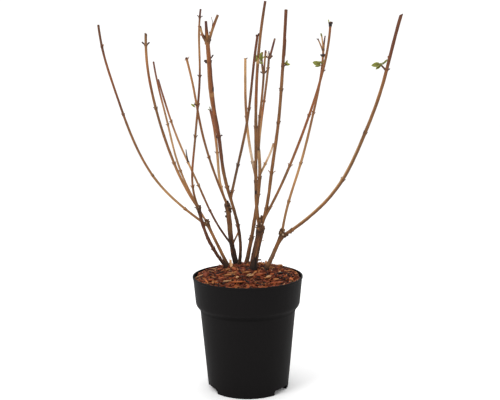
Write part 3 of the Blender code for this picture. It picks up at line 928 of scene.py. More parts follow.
@dataclass
class Cane:
    """The mesh of one limb: bark with relief, swollen nodes, and a cut or rounded tip."""

    limb: Limb
    route: Route
    finish: bpy.types.Material
    buried: float = 15.0 * MM  # depth of a stem's foot
    overlap: float = 0.6 * MM  # of any other limb into its parent
    rim: float = 0.25 * MM
    collar: float = 5.0 * MM
    collar_rise: float = 0.5 * MM
    node_rise: float = 0.38 * MM
    node_reach: float = 2.4 * MM
    pad_rise: float = 0.5 * MM
    pad_spread: float = 0.62  # radians, as is the scar's
    scar_reach: float = 1.5 * MM
    scar_spread: float = 0.5
    line_reach: float = 0.7 * MM

    def stations(self) -> tuple[np.ndarray, np.ndarray]:
        """Distance from the foot and share of the radius for each ring, from foot to tip."""
        length = self.route.length
        count = max(6, round(length / RING_STEP))
        body = np.linspace(0.0, length, count)
        below = -self.overlap if self.limb.parent else -self.buried
        if self.limb.knuckle:
            radius = self.route.half_girth(length)
            rise = np.sin(np.radians(np.arange(12, 90, 13)))
            tip = (length + rise * radius, np.sqrt(1.0 - rise**2))
        else:
            tip = (length + np.array(CUT_RISE) * self.rim, np.array(CUT_WIDTH))
        along = np.concatenate([[below, below], body, tip[0]])
        width = np.concatenate([[0.05, 1.0], np.ones(count), tip[1]])
        return along, width

    def relief(self, straight: np.ndarray, age: np.ndarray) -> np.ndarray:
        """How far the bark stands out: soft ribs on young shoots, stringy plates on old wood."""
        seed = self.limb.seed
        soft = 0.10 * Grain(seed).at(straight, 1.3, 16)
        soft += 0.05 * Grain(seed + 1).at(straight, 0.8, 5)
        swell = 0.14 * Grain(seed + 2).at(straight, 7, 17)
        plates = Grain(seed + 3).at(straight, 2.1, 20)
        cracks = -between(1.0 - 3.2 * np.abs(plates), 0.0, 1.0)
        strings = Grain(seed + 4).at(straight, 1.0, 8)
        lumps = Grain(seed + 5).at(straight, 4.5, 11)
        rough = 0.5 * cracks + 0.24 * strings + 0.42 * lumps + 0.14
        return (soft * (1.0 - 0.5 * age) + swell + age * rough) * MM

    def at_nodes(self, along: np.ndarray, angle: np.ndarray) -> tuple[np.ndarray, np.ndarray]:
        """The swelling of the nodes, and how near each place is to a leaf scar, from 0 to 1."""
        bulge = np.zeros(len(along))
        scar = np.zeros(len(along))
        for number, share in enumerate(self.limb.nodes):
            away = along - share * self.route.length
            bulge += self.node_rise * hump(away / self.node_reach)
            for side in (0.0, math.pi):
                turned = around(angle, math.radians(node_bearing(self.limb, number)) + side)
                pad = hump(turned / self.pad_spread)
                bulge += self.pad_rise * hump((away + 0.7 * MM) / self.scar_reach) * pad
                near = hump((away + 0.6 * MM) / self.scar_reach) * hump(turned / self.scar_spread)
                scar = np.maximum(scar, near)
            scar = np.maximum(scar, 0.7 * hump(away / self.line_reach))
        return bulge, scar

    def colours(self, along: np.ndarray, straight: np.ndarray, width: np.ndarray,
                scar: np.ndarray, angle: np.ndarray) -> np.ndarray:
        """The bark's colour at each vertex, some marks' painted highlights and shade included, before the
        finish adds its fibres.

        Args:
            along: distance from the foot.
            straight: place on the limb if it were straight.
            width: share of the radius of the vertex's ring.
            scar: nearness to a leaf scar.
            angle: side of the limb.

        Returns:
            A row of red, green and blue for each vertex.
        """
        share = np.clip(along / self.route.length, 0.0, 1.0)
        coats = np.array([coat.value for coat in self.limb.coats])
        steps = np.linspace(0.0, 1.0, len(coats))
        seed = 50 + self.limb.seed
        wander = share + 0.035 * Grain(seed).at(straight, 6, 20)
        colour = np.column_stack([np.interp(wander, steps, column) for column in coats.T])
        blotch = Grain(seed + 1).at(straight, 3, 13)
        warmth = Grain(seed + 2).at(straight, 5, 34)
        colour *= 1.0 + 0.22 * blotch[:, None]
        colour *= 1.0 + warmth[:, None] * np.array([0.12, 0.0, -0.12])
        towards(colour, INK, 0.75 * scar)
        if self.limb.parent:
            # darker towards the limb's foot, where it leaves its parent
            towards(colour, UMBER, self.limb.foot_dark * hump(np.maximum(along, 0.0) / self.collar))
        # Marks: scars, streaks and flaps, and painted highlights and painted shade on the sides that the key
        # light falls on and turns from.
        for mark in self.limb.marks:
            towards(colour, mark.coat, self.on_mark(mark, share, angle))
        if not self.limb.knuckle:
            tip = self.route.length
            towards(colour, INK, 0.45 * between(along, tip - 2.5 * MM, tip))
            towards(colour, HAZEL, between(-width, -0.80, -0.76))
            towards(colour, UMBER, between(-width, -0.32, -0.28))
        return np.maximum(colour, 0.0)

    @staticmethod
    def on_mark(mark: Mark, share: np.ndarray, angle: np.ndarray) -> np.ndarray:
        """How fully each place lies on a mark, from 0 to 1."""
        middle = (mark.start + mark.end) / 2
        half = (mark.end - mark.start) / 2
        turned = around(angle, math.radians(mark.bearing))
        along = between(-np.abs(share - middle), -half, -0.7 * half)
        spread = math.radians(mark.spread)
        return along * between(-np.abs(turned), -spread, -0.6 * spread)

    def build(self) -> bpy.types.Object:
        """Makes the cane and puts it in the place of its solids.

        Returns:
            The object.
        """
        limb, route = self.limb, self.route
        along, width = self.stations()
        girth = TURN * route.half_girth(route.length / 2)
        sides = max(16, 2 * round(girth / FACET / 2))
        mesh = sleeve(limb.name, len(along), sides)
        rings = Rings(mesh, len(along))
        ahead, right, back = route.across(along)
        middle = route.place(along)
        radius = route.radius(along)
        if limb.parent:
            radius = radius + self.collar_rise * hump(np.maximum(along, 0.0) / self.collar)
        ring, angle = rings.ring, rings.angle
        out = np.cos(angle)[:, None] * right[ring] + np.sin(angle)[:, None] * back[ring]
        reach = radius[ring]
        straight = on_circle(reach, angle, along[ring])
        age = np.interp(along[ring] / route.length, (0.0, 1.0), limb.ages)
        bulge, scar = self.at_nodes(along[ring], angle)
        full = width[ring] > 0.9
        reach = reach * width[ring] + full * (self.relief(straight, age) + bulge)
        share = np.clip(along[ring] / route.length, 0.0, 1.0)
        for mark in limb.marks:
            reach += mark.rise * MM * self.on_mark(mark, share, angle)
        lean = math.tan(math.radians(limb.slant))
        near_tip = between(along[ring], route.length - 3.0 * radius[-1], route.length)
        slide = lean * near_tip * reach * np.cos(angle)
        set_points(mesh, middle[ring] + out * reach[:, None] + ahead[ring] * slide[:, None])
        give(mesh, "grain", straight + np.array([0.013 * len(limb.name), 0.0, 0.0]))
        give(mesh, "age", age)
        give(mesh, "coat", with_alpha(self.colours(along[ring], straight, width[ring], scar, angle)))
        steps = np.hypot(np.diff(along), np.diff(width * radius))
        progress = np.concatenate([[0.0], np.cumsum(steps + 0.02 * MM)])
        rings.lay_map(progress / progress[-1], max(1, round(math.sqrt(route.length / girth))))
        mesh.shade_smooth()
        piece = piece_of(limb.name + "_bark", mesh, self.finish)
        slot = Slot.YOUNG_BARK if limb.parent else Slot.OLD_BARK
        nodes = [limb.name + "_lower", limb.name + "_upper"] if limb.split else [limb.name]
        return fit(piece, slot, *(nodes if limb.packed else []))


# --- Many small things ---
class Heap:
    """Copies of small shapes, gathered into one mesh."""

    def __init__(self) -> None:
        """Starts empty."""
        self.form = bmesh.new()
        self.grain: list[np.ndarray] = []

    def add(self, shape: bpy.types.Mesh, matrix: Matrix) -> None:
        """Adds a copy of a shape, set by a matrix."""
        plain = points_of(shape)
        shape.transform(matrix)
        self.form.from_mesh(shape)
        size = np.array(matrix.to_scale())
        self.grain.append(plain * size + 0.037 * len(self.grain))
        set_points(shape, plain)

    def piece(self, name: str, finish: bpy.types.Material, smooth: bool) -> bpy.types.Object:
        """The gathered copies as one object."""
        mesh = mesh_of(name, self.form)
        give(mesh, "grain", np.vstack(self.grain))
        if smooth:
            mesh.shade_smooth()
        else:
            mesh.shade_flat()
        return piece_of(name, mesh, finish)


def bud_shape(name: str, scales: float) -> bpy.types.Mesh:
    """A pointed bud one unit long standing on the origin, with overlapping scales.

    Args:
        name: the mesh's name.
        scales: how far the scales' edges stand out, as a share of its width.

    Returns:
        The mesh.
    """
    form = bmesh.new()
    bmesh.ops.create_uvsphere(form, u_segments=10, v_segments=9, radius=0.5)
    for vert in form.verts:
        rise = vert.co.z + 0.5
        swell = (1.0 - rise) ** 0.35 * (0.45 + 1.1 * rise) * (1.0 + scales * math.sin(15.0 * rise))
        flat = math.hypot(vert.co.x, vert.co.y)
        round_part = swell / max(2.0 * flat, 0.2) if flat > 1e-4 else 1.0
        vert.co.x *= round_part * 0.9
        vert.co.y *= round_part * 0.75
        vert.co.z = rise
        vert.co.x += 0.10 * rise * rise
    face_out(form)
    return mesh_of(name, form)


def stub_shape(name: str) -> bpy.types.Mesh:
    """A stub of dead shoot one unit long and wide, its end snapped off unevenly."""
    form = bmesh.new()
    bmesh.ops.create_cone(form, cap_ends=True, segments=9, radius1=0.5, radius2=0.4, depth=1.0)
    bmesh.ops.subdivide_edges(form, edges=edges_along(form, 2), cuts=3)
    cap = [face for face in form.faces if face.normal.z > 0.9]
    bmesh.ops.inset_region(form, faces=cap, thickness=0.12, depth=-0.06)
    for vert in form.verts:
        rise = vert.co.z + 0.5
        vert.co.x += 0.12 * rise * rise
        vert.co.z = rise + (0.16 * vert.co.x + 0.08 * math.sin(7.0 * vert.co.y)) * (rise > 0.9)
    return mesh_of(name, form)


class Small(Enum):
    """Kinds of small growth on the canes: their finish, and how far a bud's scales stand out."""

    DARK_BUD = ("dark_bud_scales", shade(62, 42, 36), 0.6, 0.10)
    BROWN_BUD = ("brown_bud_scales", shade(138, 92, 60), 0.6, 0.06)
    GREEN_BUD = ("green_bud_scales", shade(100, 100, 48), 0.5, 0.14)
    DARK_STUB = ("dark_dead_wood", shade(92, 68, 54), 0.85, None)
    PALE_STUB = ("pale_dead_wood", shade(196, 172, 146), 0.85, None)

    def shape(self) -> bpy.types.Mesh:
        """One growth of this kind, a unit long."""
        scales = self.value[3]
        return stub_shape(self.name) if scales is None else bud_shape(self.name, scales)

    def finish(self) -> bpy.types.Material:
        """The finish of this kind as a material."""
        return Woody(*self.value[:3]).material()


DARK_BUD, BROWN_BUD, GREEN_BUD, DARK_STUB, PALE_STUB = Small


@dataclass(frozen=True)
class Growth:
    """One bud, thorn or stub that has a place of its own.

    Sizes are in millimetres. Bearing is the side of the limb, from +X towards +Y, and tilt is how
    far it leans away from the limb, both in degrees.
    """

    limb: str
    share: float
    bearing: float
    tilt: float
    length: float
    width: float
    kind: Small = DARK_BUD
    lift: float = 0.85


# Each limb's growths: share, bearing, tilt, length and width, then kind and lift where unusual.
GROWTHS = tuple(Growth(limb, *growth) for limb, *growths in (
    ("outer_left_bough", (0.908, 10, 20, 4.6, 3.2, BROWN_BUD)),
    ("left_front_bough", (0.942, 180, 40, 7.4, 4.0), (0.942, 0, 38, 7.0, 4.0)),
    ("left_tall_bough", (0.962, 180, 48, 4.6, 2.4), (0.962, 0, 52, 4.6, 2.4),
     (0.677, 180, 55, 3.6, 2.6), (0.677, 0, 50, 3.4, 2.4)),
    ("front_cane", (0.911, 182, 66, 7.2, 6.6, DARK_BUD, 0.4),
     (0.909, 195, 76, 5.2, 6.0, DARK_BUD, 0.4), (0.923, 0, 30, 9.0, 3.6), (0.591, 0, 66, 4.6, 2.8),
     (0.583, 180, 40, 4.4, 2.8)),
    ("front_cane_left_twig", (0.44, 180, 40, 3.6, 3.4, BROWN_BUD, 0.5),
     (0.97, 180, 50, 3.0, 2.6, BROWN_BUD)),
    ("front_cane_right_twig", (0.30, 180, 20, 4.0, 2.6), (0.55, 180, 6, 7.0, 2.4),
     (0.66, 180, 33, 12.0, 1.1, DARK_STUB), (0.04, -30, 14, 5.0, 4.6, DARK_BUD, 0.4)),
    ("front_cane_fork", (0.985, 185, 14, 5.4, 3.8, DARK_BUD, 0.5),
     (0.985, -5, 4, 8.4, 4.4, DARK_BUD, 0.3)),
    ("centre_left_bough", (0.985, 0, 35, 6.6, 2.2, BROWN_BUD),
     (0.985, 180, 60, 2.8, 2.4, BROWN_BUD)),
    ("pale_rear_bough", (1.0, 0, 62, 5.2, 2.8, DARK_BUD, 0.0),
     (1.0, 180, 84, 3.2, 2.8, DARK_BUD, 0.0)),
    ("right_centre_bough", (0.281, 180, 42, 6.4, 2.2, BROWN_BUD),
     (0.281, 0, 42, 6.8, 2.2, BROWN_BUD), (0.765, -30, 42, 6.0, 3.6)),
    ("right_front_bough", (0.302, 180, 35, 5.0, 2.2, BROWN_BUD),
     (0.302, 0, 35, 5.0, 2.2, BROWN_BUD)),
    ("middle_back_bough", (0.985, 180, 52, 6.0, 3.8), (0.985, 0, 30, 8.0, 4.2),
     (0.99, 0, 28, 14.0, 1.5, BROWN_BUD)),
    ("middle_rear_bough", (0.985, 180, 66, 9.0, 5.8, DARK_BUD, 0.5),
     (0.98, -20, 40, 7.4, 6.6, DARK_STUB, 0.5), (0.985, 190, 14, 13.0, 2.0, PALE_STUB),
     (0.99, 180, 3, 16.0, 3.6, DARK_BUD, 0.0)),
    ("right_rear_bough", (0.968, 180, 60, 5.0, 5.0, DARK_BUD, 0.5),
     (0.968, 0, 60, 4.8, 5.0, DARK_BUD, 0.5), (0.958, -20, 0, 8.0, 11.5, DARK_BUD, 0.1),
     (0.935, -10, 40, 5.0, 2.4), (0.90, -95, 14, 5.0, 2.6)),
    ("right_rear_left_twig", (0.94, 180, 20, 3.6, 2.4)),
    ("outer_right_bough", (0.785, 0, 40, 4.6, 3.4), (0.782, 180, 54, 12.5, 4.2, DARK_STUB, 0.6),
     (0.825, 180, 12, 6.0, 2.4, BROWN_BUD)),
    ("centre_short_bough", (0.535, 180, 40, 4.6, 2.4), (0.535, 0, 40, 4.2, 2.4)),
    ("main_stem", (0.74, 0, 62, 5.5, 1.6, PALE_STUB), (0.26, -10, 70, 7.0, 3.6, DARK_STUB)),
    ("middle_back_stem", (0.205, 190, 60, 5.0, 2.6)),
    ("outer_left_bough", (0.02, 80, 30, 6.0, 2.4, BROWN_BUD)),
    ("left_tall_bough", (0.528, 180, 58, 6.4, 3.2)),
    ("right_front_bough", (0.986, 0, 8, 6.8, 6.2, DARK_BUD, 0.3),
     (0.985, 180, 6, 6.6, 6.0, DARK_BUD, 0.3)),
) for growth in growths)


@dataclass
class Buds:
    """The buds in pairs at the canes' nodes, and every bud, thorn and stub with its own place."""

    routes: dict[str, Route]
    rng: random.Random = field(default_factory=lambda: random.Random(11))
    length: Span = (3.2, 4.8)  # mm
    width: Span = (1.7, 2.3)  # mm
    tilt: Span = (14.0, 34.0)  # degrees
    lift: float = 1.05
    old_age: float = 0.3  # past which every bud is dark

    def build(self) -> list[bpy.types.Object]:
        """Makes one piece of each kind of growth.

        Returns:
            The pieces.
        """
        shapes = {kind: kind.shape() for kind in Small}
        heaps = {kind: Heap() for kind in Small}
        for growth in (*GROWTHS, *self.pairs()):
            seat = self.routes[growth.limb].seat(growth.share, growth.bearing, growth.lift, growth.tilt)
            size = Vector((growth.width, growth.width, growth.length)) * MM
            heaps[growth.kind].add(shapes[growth.kind], seat @ Matrix.Diagonal((*size, 1.0)))
        made = []
        for kind, heap in heaps.items():
            piece = heap.piece(kind.name.lower() + "s", kind.finish(), True)
            made.append(fit(piece, Slot.LEAF if kind is GREEN_BUD else Slot.YOUNG_BARK))
        return made

    def pairs(self) -> Iterable[Growth]:
        """A pair of buds at each node, each pair turned a quarter from the one below."""
        own = {(growth.limb, growth.share) for growth in GROWTHS}
        for limb in (*STEMS, *BOUGHS):
            for number, share in enumerate(limb.nodes):
                for side in (0.0, 180.0):
                    length = self.rng.uniform(*self.length)
                    width = self.rng.uniform(*self.width)
                    tilt = self.rng.uniform(*self.tilt)
                    if (limb.name, share) in own:
                        continue
                    bearing = node_bearing(limb, number) + side
                    kind = DARK_BUD if limb.ages[0] > self.old_age or number % 2 else BROWN_BUD
                    yield Growth(limb.name, share, bearing, tilt, length, width, kind, self.lift)
        yield Growth("centre_short_bough", 1.0, -90, 8, 7.0, 3.8, GREEN_BUD, 0.1)
        yield Growth("right_rear_middle_twig", 0.90, 180, 3, 10.0, 5.2, GREEN_BUD, 0.1)


# --- Knuckles ---
@dataclass(frozen=True)
class Lump:
    """A ball of old wood on a knuckle: its middle from the stem's tip, and its radius, in mm."""

    x: float
    y: float
    z: float
    radius: float


@dataclass(frozen=True)
class Stub:
    """What is left of a shoot cut off at a knuckle.

    It starts at x, y and z from the stem's tip and points to a bearing, leaning out from upright
    by tilt degrees. Lengths are in millimetres, and pale tells how fresh its cut face looks.
    """

    x: float
    y: float
    z: float
    bearing: float
    tilt: float
    length: float
    girth: float
    pale: float = 0.2


@dataclass
class Burl:
    """The lumpy knuckle that yearly pruning leaves at the top of a stem."""

    name: str
    route: Route
    finish: bpy.types.Material
    lumps: tuple[Lump, ...]
    stubs: tuple[Stub, ...]
    seed: int
    coat: Coat
    light: Coat
    voxel: float = 0.4 * MM
    stretch: Span = (0.9, 1.3)
    lean: float = 0.6  # radians
    coarse: float = 0.55  # mm of relief, as are the next two
    fine: float = 0.30
    pitted: float = 0.6
    face: float = 0.8 * MM  # how near a cut face its colour reaches

    def lump_together(self) -> tuple[bmesh.types.BMesh, list[tuple[Vector, Vector, float, float]]]:
        """Sets lumps and stubs round the stem's top.

        Returns:
            The loose shapes, and each stub's cut face: its middle, direction, radius and paleness.
        """
        rng = random.Random(self.seed)
        form = bmesh.new()
        tip = self.route.point(self.route.length)
        for lump in self.lumps:
            place = Matrix.Translation(tip + Vector((lump.x, lump.y, lump.z)) * MM)
            stretch = Matrix.Diagonal((1.0, 1.0, rng.uniform(*self.stretch), 1.0))
            lean = Matrix.Rotation(rng.uniform(-self.lean, self.lean), 4, "Y")
            lean = lean @ Matrix.Rotation(rng.uniform(-self.lean, self.lean), 4, "X")
            bmesh.ops.create_icosphere(form, subdivisions=3, radius=lump.radius * MM,
                                       matrix=place @ lean @ stretch)
        ends = []
        for stub in self.stubs:
            place = tip + Vector((stub.x, stub.y, stub.z)) * MM
            seat = Matrix.Translation(place) @ (turn_of(stub.bearing, "Z") @ turn_of(stub.tilt, "Y"))
            depth, radius = stub.length * MM, stub.girth * 0.48 * MM
            bmesh.ops.create_cone(form, cap_ends=True, segments=20, radius1=stub.girth * 0.6 * MM,
                                  radius2=radius, depth=depth,
                                  matrix=seat @ Matrix.Translation((0.0, 0.0, depth / 2)))
            axis = seat.to_3x3() @ Vector((0.0, 0.0, 1.0))
            ends.append((place + axis * depth, axis, radius, stub.pale))
        return form, ends

    def weld(self, form: bmesh.types.BMesh) -> bpy.types.Mesh:
        """Makes one even skin round the loose shapes."""
        loose = cast(self.name, form, self.finish)
        weld = loose.modifiers.new("weld", "REMESH")
        weld.mode = "VOXEL"
        weld.voxel_size = self.voxel
        mesh = finished_mesh(loose)
        bpy.data.objects.remove(loose)
        skin = bmesh.new()
        skin.from_mesh(mesh)
        for _ in range(2):
            bmesh.ops.smooth_vert(skin, verts=skin.verts, factor=0.5,
                                  use_axis_x=True, use_axis_y=True, use_axis_z=True)
        skin.to_mesh(mesh)
        skin.free()
        return mesh

    def build(self) -> bpy.types.Object:
        """Makes the knuckle: everything welded into one skin, then roughened and coloured.

        Returns:
            The object.
        """
        form, ends = self.lump_together()
        mesh = self.weld(form)
        places = points_of(mesh)
        normals = np.empty(len(mesh.vertices) * 3, np.float32)
        mesh.vertices.foreach_get("normal", normals)
        normals = normals.reshape(-1, 3)
        pale = np.zeros(len(places))
        rim = np.zeros(len(places))
        for middle, axis, radius, paleness in ends:
            away = places - np.array(middle)
            depth = away @ np.array(axis)
            out = np.linalg.norm(away - depth[:, None] * np.array(axis), axis=1)
            near = np.abs(depth) < self.face
            pale = np.maximum(pale, near * between(-out, -0.95 * radius, -0.7 * radius) * paleness)
            rim = np.maximum(rim, near * (out > 0.8 * radius) * (out < 1.4 * radius) * 0.7)
        rough = self.coarse * Grain(self.seed).at(places, 2.4, 3.4)
        rough += self.fine * Grain(self.seed + 1).at(places, 1.1, 2.0)
        pits = between(Grain(self.seed + 2).at(places, 1.9, 2.6), 0.35, 0.8)
        move = (rough - self.pitted * pits) * (1.0 - pale) * MM
        set_points(mesh, places + normals * move[:, None])
        tone = 1.0 + 0.4 * rough - 0.6 * pits - 0.5 * rim
        colour = np.array(self.coat.value) * np.maximum(tone, 0.1)[:, None]
        warm = Grain(self.seed + 3).at(places, 3, 5)
        towards(colour, self.light, 0.7 * between(warm, 0.0, 0.8))
        towards(colour, BONE, pale)
        give(mesh, "coat", with_alpha(np.maximum(colour, 0.0)))
        give(mesh, "grain", places)
        give(mesh, "age", np.ones(len(places)))
        mesh.shade_smooth()
        return fit(piece_of(self.name, mesh, self.finish), Slot.OLD_BARK)


BURLS = {
    "left_front": ((
        Lump(-2.7, -2, 0.8, 3.0), Lump(1.1, -2, 0.6, 3.6), Lump(3.0, 0, 1.0, 2.4), Lump(-0.2, -2, -2.5, 3.4),
        Lump(-2.0, 1.5, -1.3, 3.0), Lump(0.6, 2.6, 2.8, 3.0), Lump(1.5, 2.5, -2.0, 3.0)), (
        Stub(-3, -1, 1.0, 180, 85, 5.2, 2.4), Stub(-0.5, -4.2, 1.5, -80, 60, 3.4, 3.2, 0.3),
        Stub(1.5, 4, 1.5, 70, 50, 5.0, 3.0, 0.4)), BROWN, CHESTNUT),
    "left_back": ((
        Lump(-1.4, -2, 1.6, 3.2), Lump(-3.5, -1, -0.8, 2.6), Lump(-2.9, -1.5, -3.7, 2.4),
        Lump(2.5, -0.5, 2.1, 2.4), Lump(0.4, 0, -2.7, 3.0), Lump(-0.6, 1.6, 4.9, 2.6),
        Lump(0.5, 2.6, 0.5, 3.0)), (
        Stub(-4.1, -1, 2.1, 180, 8, 5.2, 2.0), Stub(2.5, -1, 1.8, 0, 60, 3.6, 2.2),
        Stub(-1, -3.6, 1.2, -90, 80, 2.6, 3.4, 0.45), Stub(1.0, 3, 3, 60, 40, 5.0, 2.8, 0.5)),
        BROWN, FAWN),
    "centre_left": ((
        Lump(0.4, -2, 4.6, 3.0), Lump(1.4, -3, -1.2, 4.2), Lump(4.4, -3, -5.2, 3.8),
        Lump(3.8, -2.5, -9.8, 4.4), Lump(6.0, -1.5, -13.4, 2.8), Lump(4.0, -1.5, -17.4, 3.0),
        Lump(3.2, -1, -21.4, 2.4), Lump(-4.6, 0, -13.6, 2.0), Lump(-2.6, -1, -22.6, 2.2),
        Lump(2, 3.5, -3, 4.0), Lump(2.5, 3.5, -10, 3.6)), (
        Stub(-1.4, -2, 6, 175, 4, 7.6, 1.1, 0.4), Stub(5.2, -5, -4.2, -70, 85, 3.4, 2.6, 0.6),
        Stub(0.4, -2, 3.5, 0, 8, 5.4, 3.2), Stub(5, -1, -9, 0, 60, 4.0, 3.0),
        Stub(2, 6, -2, 80, 55, 5.0, 3.4, 0.5)), UMBER, HAZEL),
    "main": ((
        Lump(-1.3, -6, 2.5, 3.8), Lump(3.8, -5, 4.3, 4.0), Lump(6.0, -3.5, 7.0, 3.4), Lump(6.6, -2, 2.5, 3.2),
        Lump(-4.4, -2, 4.3, 3.2), Lump(1.0, 2, 0.5, 6.4), Lump(3.0, 1, 7.5, 4.4), Lump(-1.5, -1, 9.0, 3.6),
        Lump(3.0, -6.6, 27.0, 2.6), Lump(-3.5, 2, -3.0, 3.6), Lump(3.5, -3, -4.0, 3.8)), (
        Stub(1.9, -5, 9, 0, 4, 18, 5.2), Stub(-0.8, -4, 9, 0, 2, 16, 4.2, 0.5),
        Stub(2.6, -7, 13.6, -88, 82, 3.2, 2.8, 0.6), Stub(-5, -3, 5, 180, 72, 6.0, 1.7),
        Stub(2.5, 6, 6, 80, 40, 9.0, 4.4, 0.6), Stub(-2.5, 5, 4, 130, 52, 7.0, 3.6, 0.4)),
        BROWN, FAWN),
    "right": ((
        Lump(-3, -1, 9.6, 2.6), Lump(-2.8, -1, 5.8, 2.8), Lump(-0.4, 0, 13.9, 2.6), Lump(0, -2, 8.6, 3.4),
        Lump(2.8, -2.5, 5.8, 4.0), Lump(6.6, -1.5, 3.0, 3.6), Lump(10.3, -1, 4.9, 3.3),
        Lump(13.0, 0, 8.2, 2.9), Lump(17.0, 0, 8.4, 2.9), Lump(5.6, 0, 0.4, 3.0),
        Lump(1.0, 2.6, 5.0, 4.0), Lump(6.0, 2.5, 4.0, 3.4)), (
        Stub(4.3, -2, 9.0, 0, 14, 6.2, 2.6), Stub(4.3, -4, 10.0, -90, 60, 2.6, 2.6, 0.6),
        Stub(2.1, -5, 4.6, -90, 82, 2.4, 4.6, 0.8), Stub(-1, 5, 8, 110, 40, 6.0, 3.4, 0.5),
        Stub(12.6, -0.6, 9, 20, 12, 3.4, 2.4)), BROWN, STRAW),
}


@dataclass
class Peelings:
    """Thin strips of old bark that have come loose at one end."""

    routes: dict[str, Route]
    stems: tuple[tuple[str, int, float, float], ...] = (  # stem, strips, from and to as shares
        ("main_stem", 30, 0.08, 0.82),
        ("centre_left_stem", 12, 0.1, 0.8),
        ("left_front_stem", 8, 0.1, 0.8),
        ("right_stem", 6, 0.1, 0.75),
        ("front_cane", 8, 0.04, 0.3),
        ("middle_back_stem", 6, 0.06, 0.4),
    )
    length: Span = (7.0, 22.0)  # mm
    width: Span = (0.7, 2.0)  # mm
    lift: Span = (0.3, 2.2)  # mm, of the loose end
    curl: float = 0.4  # radians
    gap: float = 0.15 * MM
    thickness: float = 0.25 * MM
    seed: int = 23

    def strip(self, route: Route, share: float, bearing: float, rng: random.Random) -> bpy.types.Mesh:
        """One strip, lying on the stem and lifting away towards one end."""
        length = rng.uniform(*self.length) * MM
        half = rng.uniform(*self.width) * MM / 2
        lift = rng.uniform(*self.lift) * MM
        way = rng.choice((-1.0, 1.0))
        curl = rng.uniform(-self.curl, self.curl)
        form = bmesh.new()
        bmesh.ops.create_grid(form, x_segments=2, y_segments=12, size=0.5)
        for vert in form.verts:
            rise = 0.5 + way * vert.co.y
            along = share * route.length + vert.co.y * length
            _, right, back = route.axes(along)
            radius = route.half_girth(along)
            narrow = 1.0 - 0.8 * rise**3
            angle = math.radians(bearing) + vert.co.x * 2.0 * half * narrow / radius + curl * rise**2
            out = math.cos(angle) * right + math.sin(angle) * back
            reach = radius + self.gap + lift * rise**2.2
            vert.co = route.point(along) + out * reach
        face_out(form)
        bmesh.ops.solidify(form, geom=form.faces[:], thickness=self.thickness)
        face_out(form)
        return mesh_of("strip", form)

    def build(self) -> bpy.types.Object:
        """Makes all the strips as one piece."""
        rng = random.Random(self.seed)
        heap = Heap()
        for stem, count, low, high in self.stems:
            for number in range(count):
                share = rng.uniform(low, high)
                bearing = 137.5 * number + rng.uniform(-20, 20)
                shape = self.strip(self.routes[stem], share, bearing, rng)
                heap.add(shape, Matrix.Identity(4))
                bpy.data.meshes.remove(shape)
        finish = Woody("loose_bark", shade(104, 66, 46), 0.85, 0.5).material()
        return fit(heap.piece("loose_bark", finish, True), Slot.OLD_BARK)


# --- Young leaves ---
@dataclass(frozen=True)
class Leaf:
    """One half-open leaf. Lengths in millimetres, angles in degrees.

    It starts at rise above the tuft's seat and shift away from it along X and Y, points along
    bearing and elevation, is folded along its midrib by fold, bends down by curl over its length
    and is turned about its midrib by roll.
    """

    bearing: float
    elevation: float
    length: float
    width: float
    rise: float = 0.0
    fold: float = 35.0
    curl: float = 25.0
    roll: float = 0.0
    tone: float = 1.0
    shift: Numbers = (0.0, 0.0)


BLADE = shade(115, 119, 42)
RIB = shade(158, 160, 84)
EDGE = shade(154, 155, 76)
HEART = shade(66, 56, 30)


